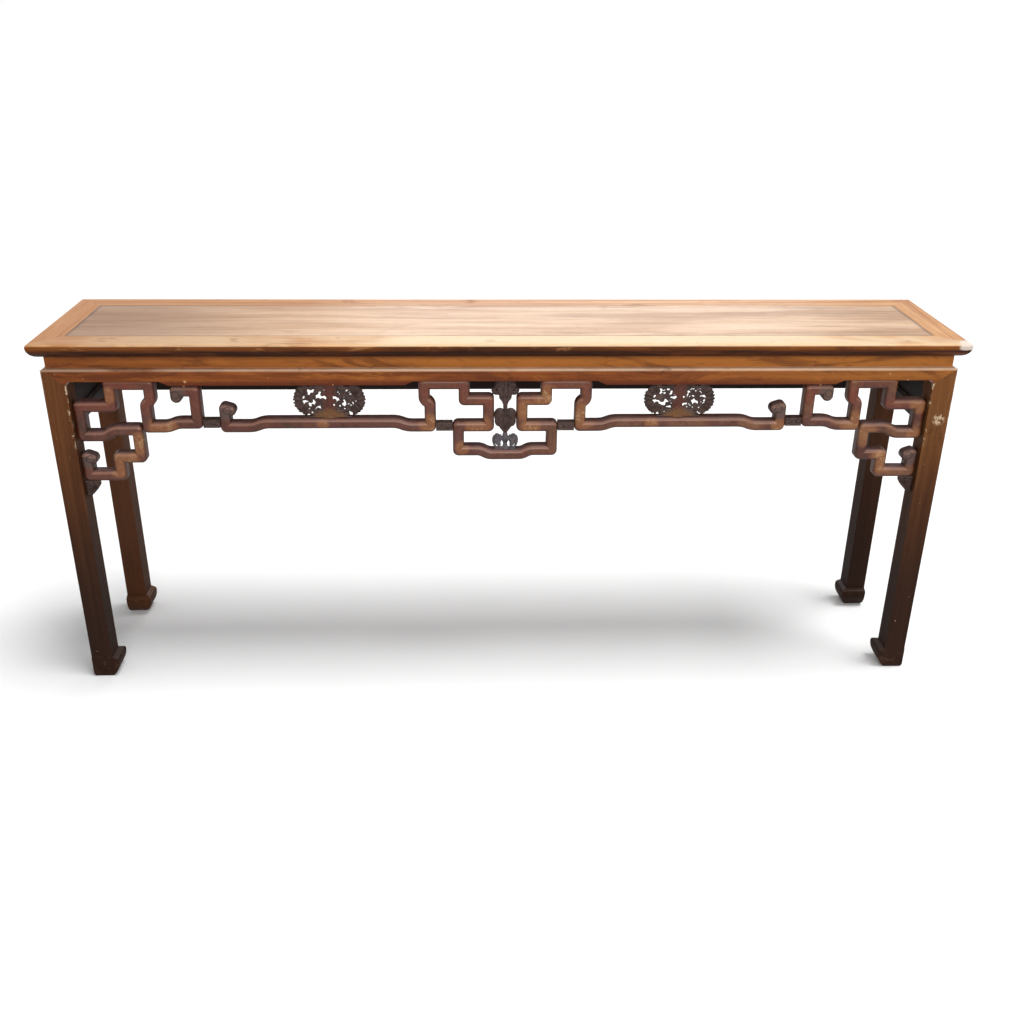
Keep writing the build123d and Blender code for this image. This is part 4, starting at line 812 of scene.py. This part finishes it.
def bat():
    """Bat with folded wings as two scrolls, over a shelf with smaller scrolls."""
    c = Carving("carved_bat")
    top, foot = c.half_high, -c.half_high
    c.slab([(-24, foot), (24, foot), (27, foot + 5), (20, foot + 9), (-20, foot + 9), (-27, foot + 5)], 2, 10)
    c.strand([(0, foot), (0, 0), (0, top)], (13, 8, 12), 8, 0.6)
    c.strand([(0, foot + 4, 1.5), (1, foot + 18, 0.5), (0, foot + 30, 2)], (3, 4.2, 2), 2, 0.9)
    for side in (-1, 1):
        c.lump(side * 12, 2, 12.5, 13, 6, 8)
        c.curl(side * 12.5, 2, 10.5, 1.6, 2.3, side, 90 + side * 90, 3)
        c.lump(side * 25.5, foot + 10, 7, 7, 5, 8)
        c.curl(side * 25.5, foot + 10, 5.5, 1.2, 1.8, -side, 90, 3.5)
        c.strand([(side * 14, foot + 7), (side * 22, foot + 3), (side * 31, foot + 4)], (3, 2.6, 1.6), 4, 0.9)
    c.finish(0.7, finish_of(c.node))


def ribbon():
    """Knotted ribbon, narrowing to a stem."""
    c = Carving("carved_ribbon")
    top, wide = c.half_high, c.half_wide
    right_half = [(wide, top), (wide - 1, top - 9), (wide * 0.55, top - 16), (wide * 0.35, top - 24),
                  (wide * 0.3, -top)]
    left_half = [(-across, up) for across, up in reversed(right_half)]
    c.slab(right_half + left_half, 3, 9)
    c.strand([(-wide, top - 2.5), (wide, top - 2.5)], (1.6, 1.6), 2.5, 1)
    c.strand([(-3, top - 6, 3), (0, top - 18, 1), (1, -top, 2)], (2.4, 3.4, 2.2), 2, 0.8)
    c.curl(wide * 0.45, top - 10, 4, 1, 1.4, 1, 200, 2.5)
    c.finish(0.7, finish_of(c.node))


def peach():
    """Peach between its leaves, point down."""
    c = Carving("carved_peach")
    wide, top = c.half_wide, c.half_high
    for side in (-1, 1):
        c.lump(side * wide * 0.5, top - 14, wide * 0.52, 14.5, 6, 7.5, side * 14)
        c.lump(side * wide * 0.48, 1, wide * 0.46, 17, 6, 7.5, side * 16)
        c.strand([(side * wide * 0.86, top - 18), (side * wide * 0.66, -2), (side * 3, -top * 0.9)],
                 (4, 6, 3), 7.5, 0.9)
        c.strand([(side * 2, top - 9, 1.5), (side * wide * 0.55, top - 22, 1.5),
                  (side * wide * 0.4, -6, 2.5)], (1.1, 1.4, 0.8), 2, 0.9)
    c.strand([(0, top - 14), (0, -4), (0, -top * 0.62), (0, -top)], (16, 18, 12, 4), 7.5, 0.36)
    c.strand([(0, top - 10, 1.5), (0.5, 2, 0), (0, -top * 0.8, 3)], (2, 3.6, 1.2), 1, 0.8)
    c.finish(0.7, finish_of(c.node))


def cloud():
    """Grey cloud scrolls on the pendant bar, with a stem up to the peach's point."""
    c = Carving("carved_cloud")
    foot = -c.half_high
    peach_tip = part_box("carved_peach")[0].z
    crown = c.half_high + (peach_tip - c.high.z) / MM
    c.high = Vector((c.high.x, c.high.y, peach_tip))
    c.strand([(0, foot), (0, foot + 14), (0, foot + 26), (0, crown)], (8, 5, 8, 5), 7, 0.8)
    c.strand([(-24, foot + 1.5), (24, foot + 1.5)], (2.2, 2.2), 7, 1.6)
    for side in (-1, 1):
        c.lump(side * 18, foot + 25, 9.5, 14, 5.5, 8, side * -8)
        c.curl(side * 18.5, foot + 29, 9, 1.4, 2.3, side, 90, 3.5)
        c.curl(side * 17, foot + 14, 6.5, 1.2, 2.1, -side, 270, 3.5)
        c.strand([(side * 26, foot + 34), (side * 28, foot + 22), (side * 24, foot + 9), (side * 17, foot)],
                 (2.4, 2.8, 2.8, 3.2), 6, 1)
        c.strand([(side * 3, foot + 20), (side * 8, foot + 26), (side * 12, foot + 36)], (2.6, 3, 3), 6, 1)
        c.strand([(side * 2, foot + 3), (side * 8, foot + 6), (side * 14, foot + 3)], (2, 2.2, 2), 5, 1)
    c.finish(0.7, carved_wood("cloud_wood", None, srgb(96, 92, 98), srgb(196, 194, 200)))


def bracket(node, side):
    """Corner bracket; side is the way from its leg to its free end."""
    c = Carving(node)
    wide, top = c.half_wide, c.half_high
    leg, free = -side * wide, side * wide
    c.slab([(leg, top), (free, top), (free * 0.55, top * 0.1), (leg * 0.35, -top * 0.75), (leg, -top)], 5, 8)
    c.strand([(free, top - 3), (free * 0.5, top * 0.15), (leg * 0.4, -top * 0.7), (leg, -top + 2)],
             (3, 3.2, 3, 2.2), 4, 1)
    c.curl(leg * 0.35, top * 0.35, 8.5, 1.5, 2.2, side, 90, 3.5)
    c.curl(free * 0.45, top * 0.62, 5.5, 1.3, 1.9, -side, 0, 3.5)
    c.strand([(leg, top - 3), (free, top - 3)], (2.6, 2.6), 5, 1)
    c.strand([(leg + side * 2.5, top), (leg + side * 2.5, -top + 2)], (2.4, 2), 5, 1)
    c.finish(0.8, finish_of(node))


def link(node):
    """Link block with a beaded oval and a curl at each side."""
    c = Carving(node)
    wide, high = c.half_wide, c.half_high
    c.slab([(-wide, -high), (wide, -high), (wide, high), (-wide, high)], 2.5, 24)
    oval = [(wide * 0.42 * math.cos(a), high * 0.62 * math.sin(a)) for a in (*round_angles(16), 2 * math.pi)]
    c.strand(oval, (1.5, 1.5), 2, 1)
    c.lump(0, 0, wide * 0.2, high * 0.32, 2.4, 2.5)
    for side in (-1, 1):
        c.curl(side * wide * 0.7, 0, 4.2, 1.1, 1.3, side, 90, 2)
    for up in (-1, 1):
        c.strand([(-wide, up * (high - 1.3)), (wide, up * (high - 1.3))], (1.4, 1.4), 2.5, 1)
    c.finish(0.7, finish_of(node))


blossom("blossom_left", 5)
blossom("blossom_right", 8)
bat()
ribbon()
peach()
cloud()
for end, side in (("left", 1), ("right", -1)):
    bracket("bracket_" + end, side)
    link("link_outer_" + end)
    link("link_inner_" + end)


# ---------------------------------------------------------------- floor
FLOOR_AS_LIGHT = 0.42
FLOOR_DARKEST, FLOOR_PALEST = 0.86, 0.88
FLOOR_LEFT, FLOOR_RIGHT, FLOOR_NEAR, FLOOR_FAR = -40, 40, -40, 60


def floor_finish():
    """Pale where it is looked at or mirrored, and a grey that throws little light up under the table."""
    f = Finish("floor")
    cloud = f.noise(3.0, EVEN, 3, 0.5)
    pale = f.ramp(cloud, (0.3, neutral(FLOOR_DARKEST)), (0.7, neutral(FLOOR_PALEST)))
    ray = f.node("ShaderNodeLightPath").outputs
    looked_at = f.any(ray["Is Camera Ray"], ray["Is Glossy Ray"], ray["Is Transmission Ray"])
    f.colour = f.mix(looked_at, neutral(FLOOR_AS_LIGHT), pale)
    return f.finish(0.9, cloud, 0.05, 0.0005, shine=0.1)


floor_mesh = bpy.data.meshes.new("floor")
floor_corners = [(FLOOR_LEFT, FLOOR_NEAR, 0), (FLOOR_RIGHT, FLOOR_NEAR, 0),
                 (FLOOR_RIGHT, FLOOR_FAR, 0), (FLOOR_LEFT, FLOOR_FAR, 0)]
floor_mesh.from_pydata(floor_corners, [], [(0, 1, 2, 3)])
floor_mesh.materials.append(floor_finish())
floor = bpy.data.objects.new("floor", floor_mesh)
scene.collection.objects.link(floor)
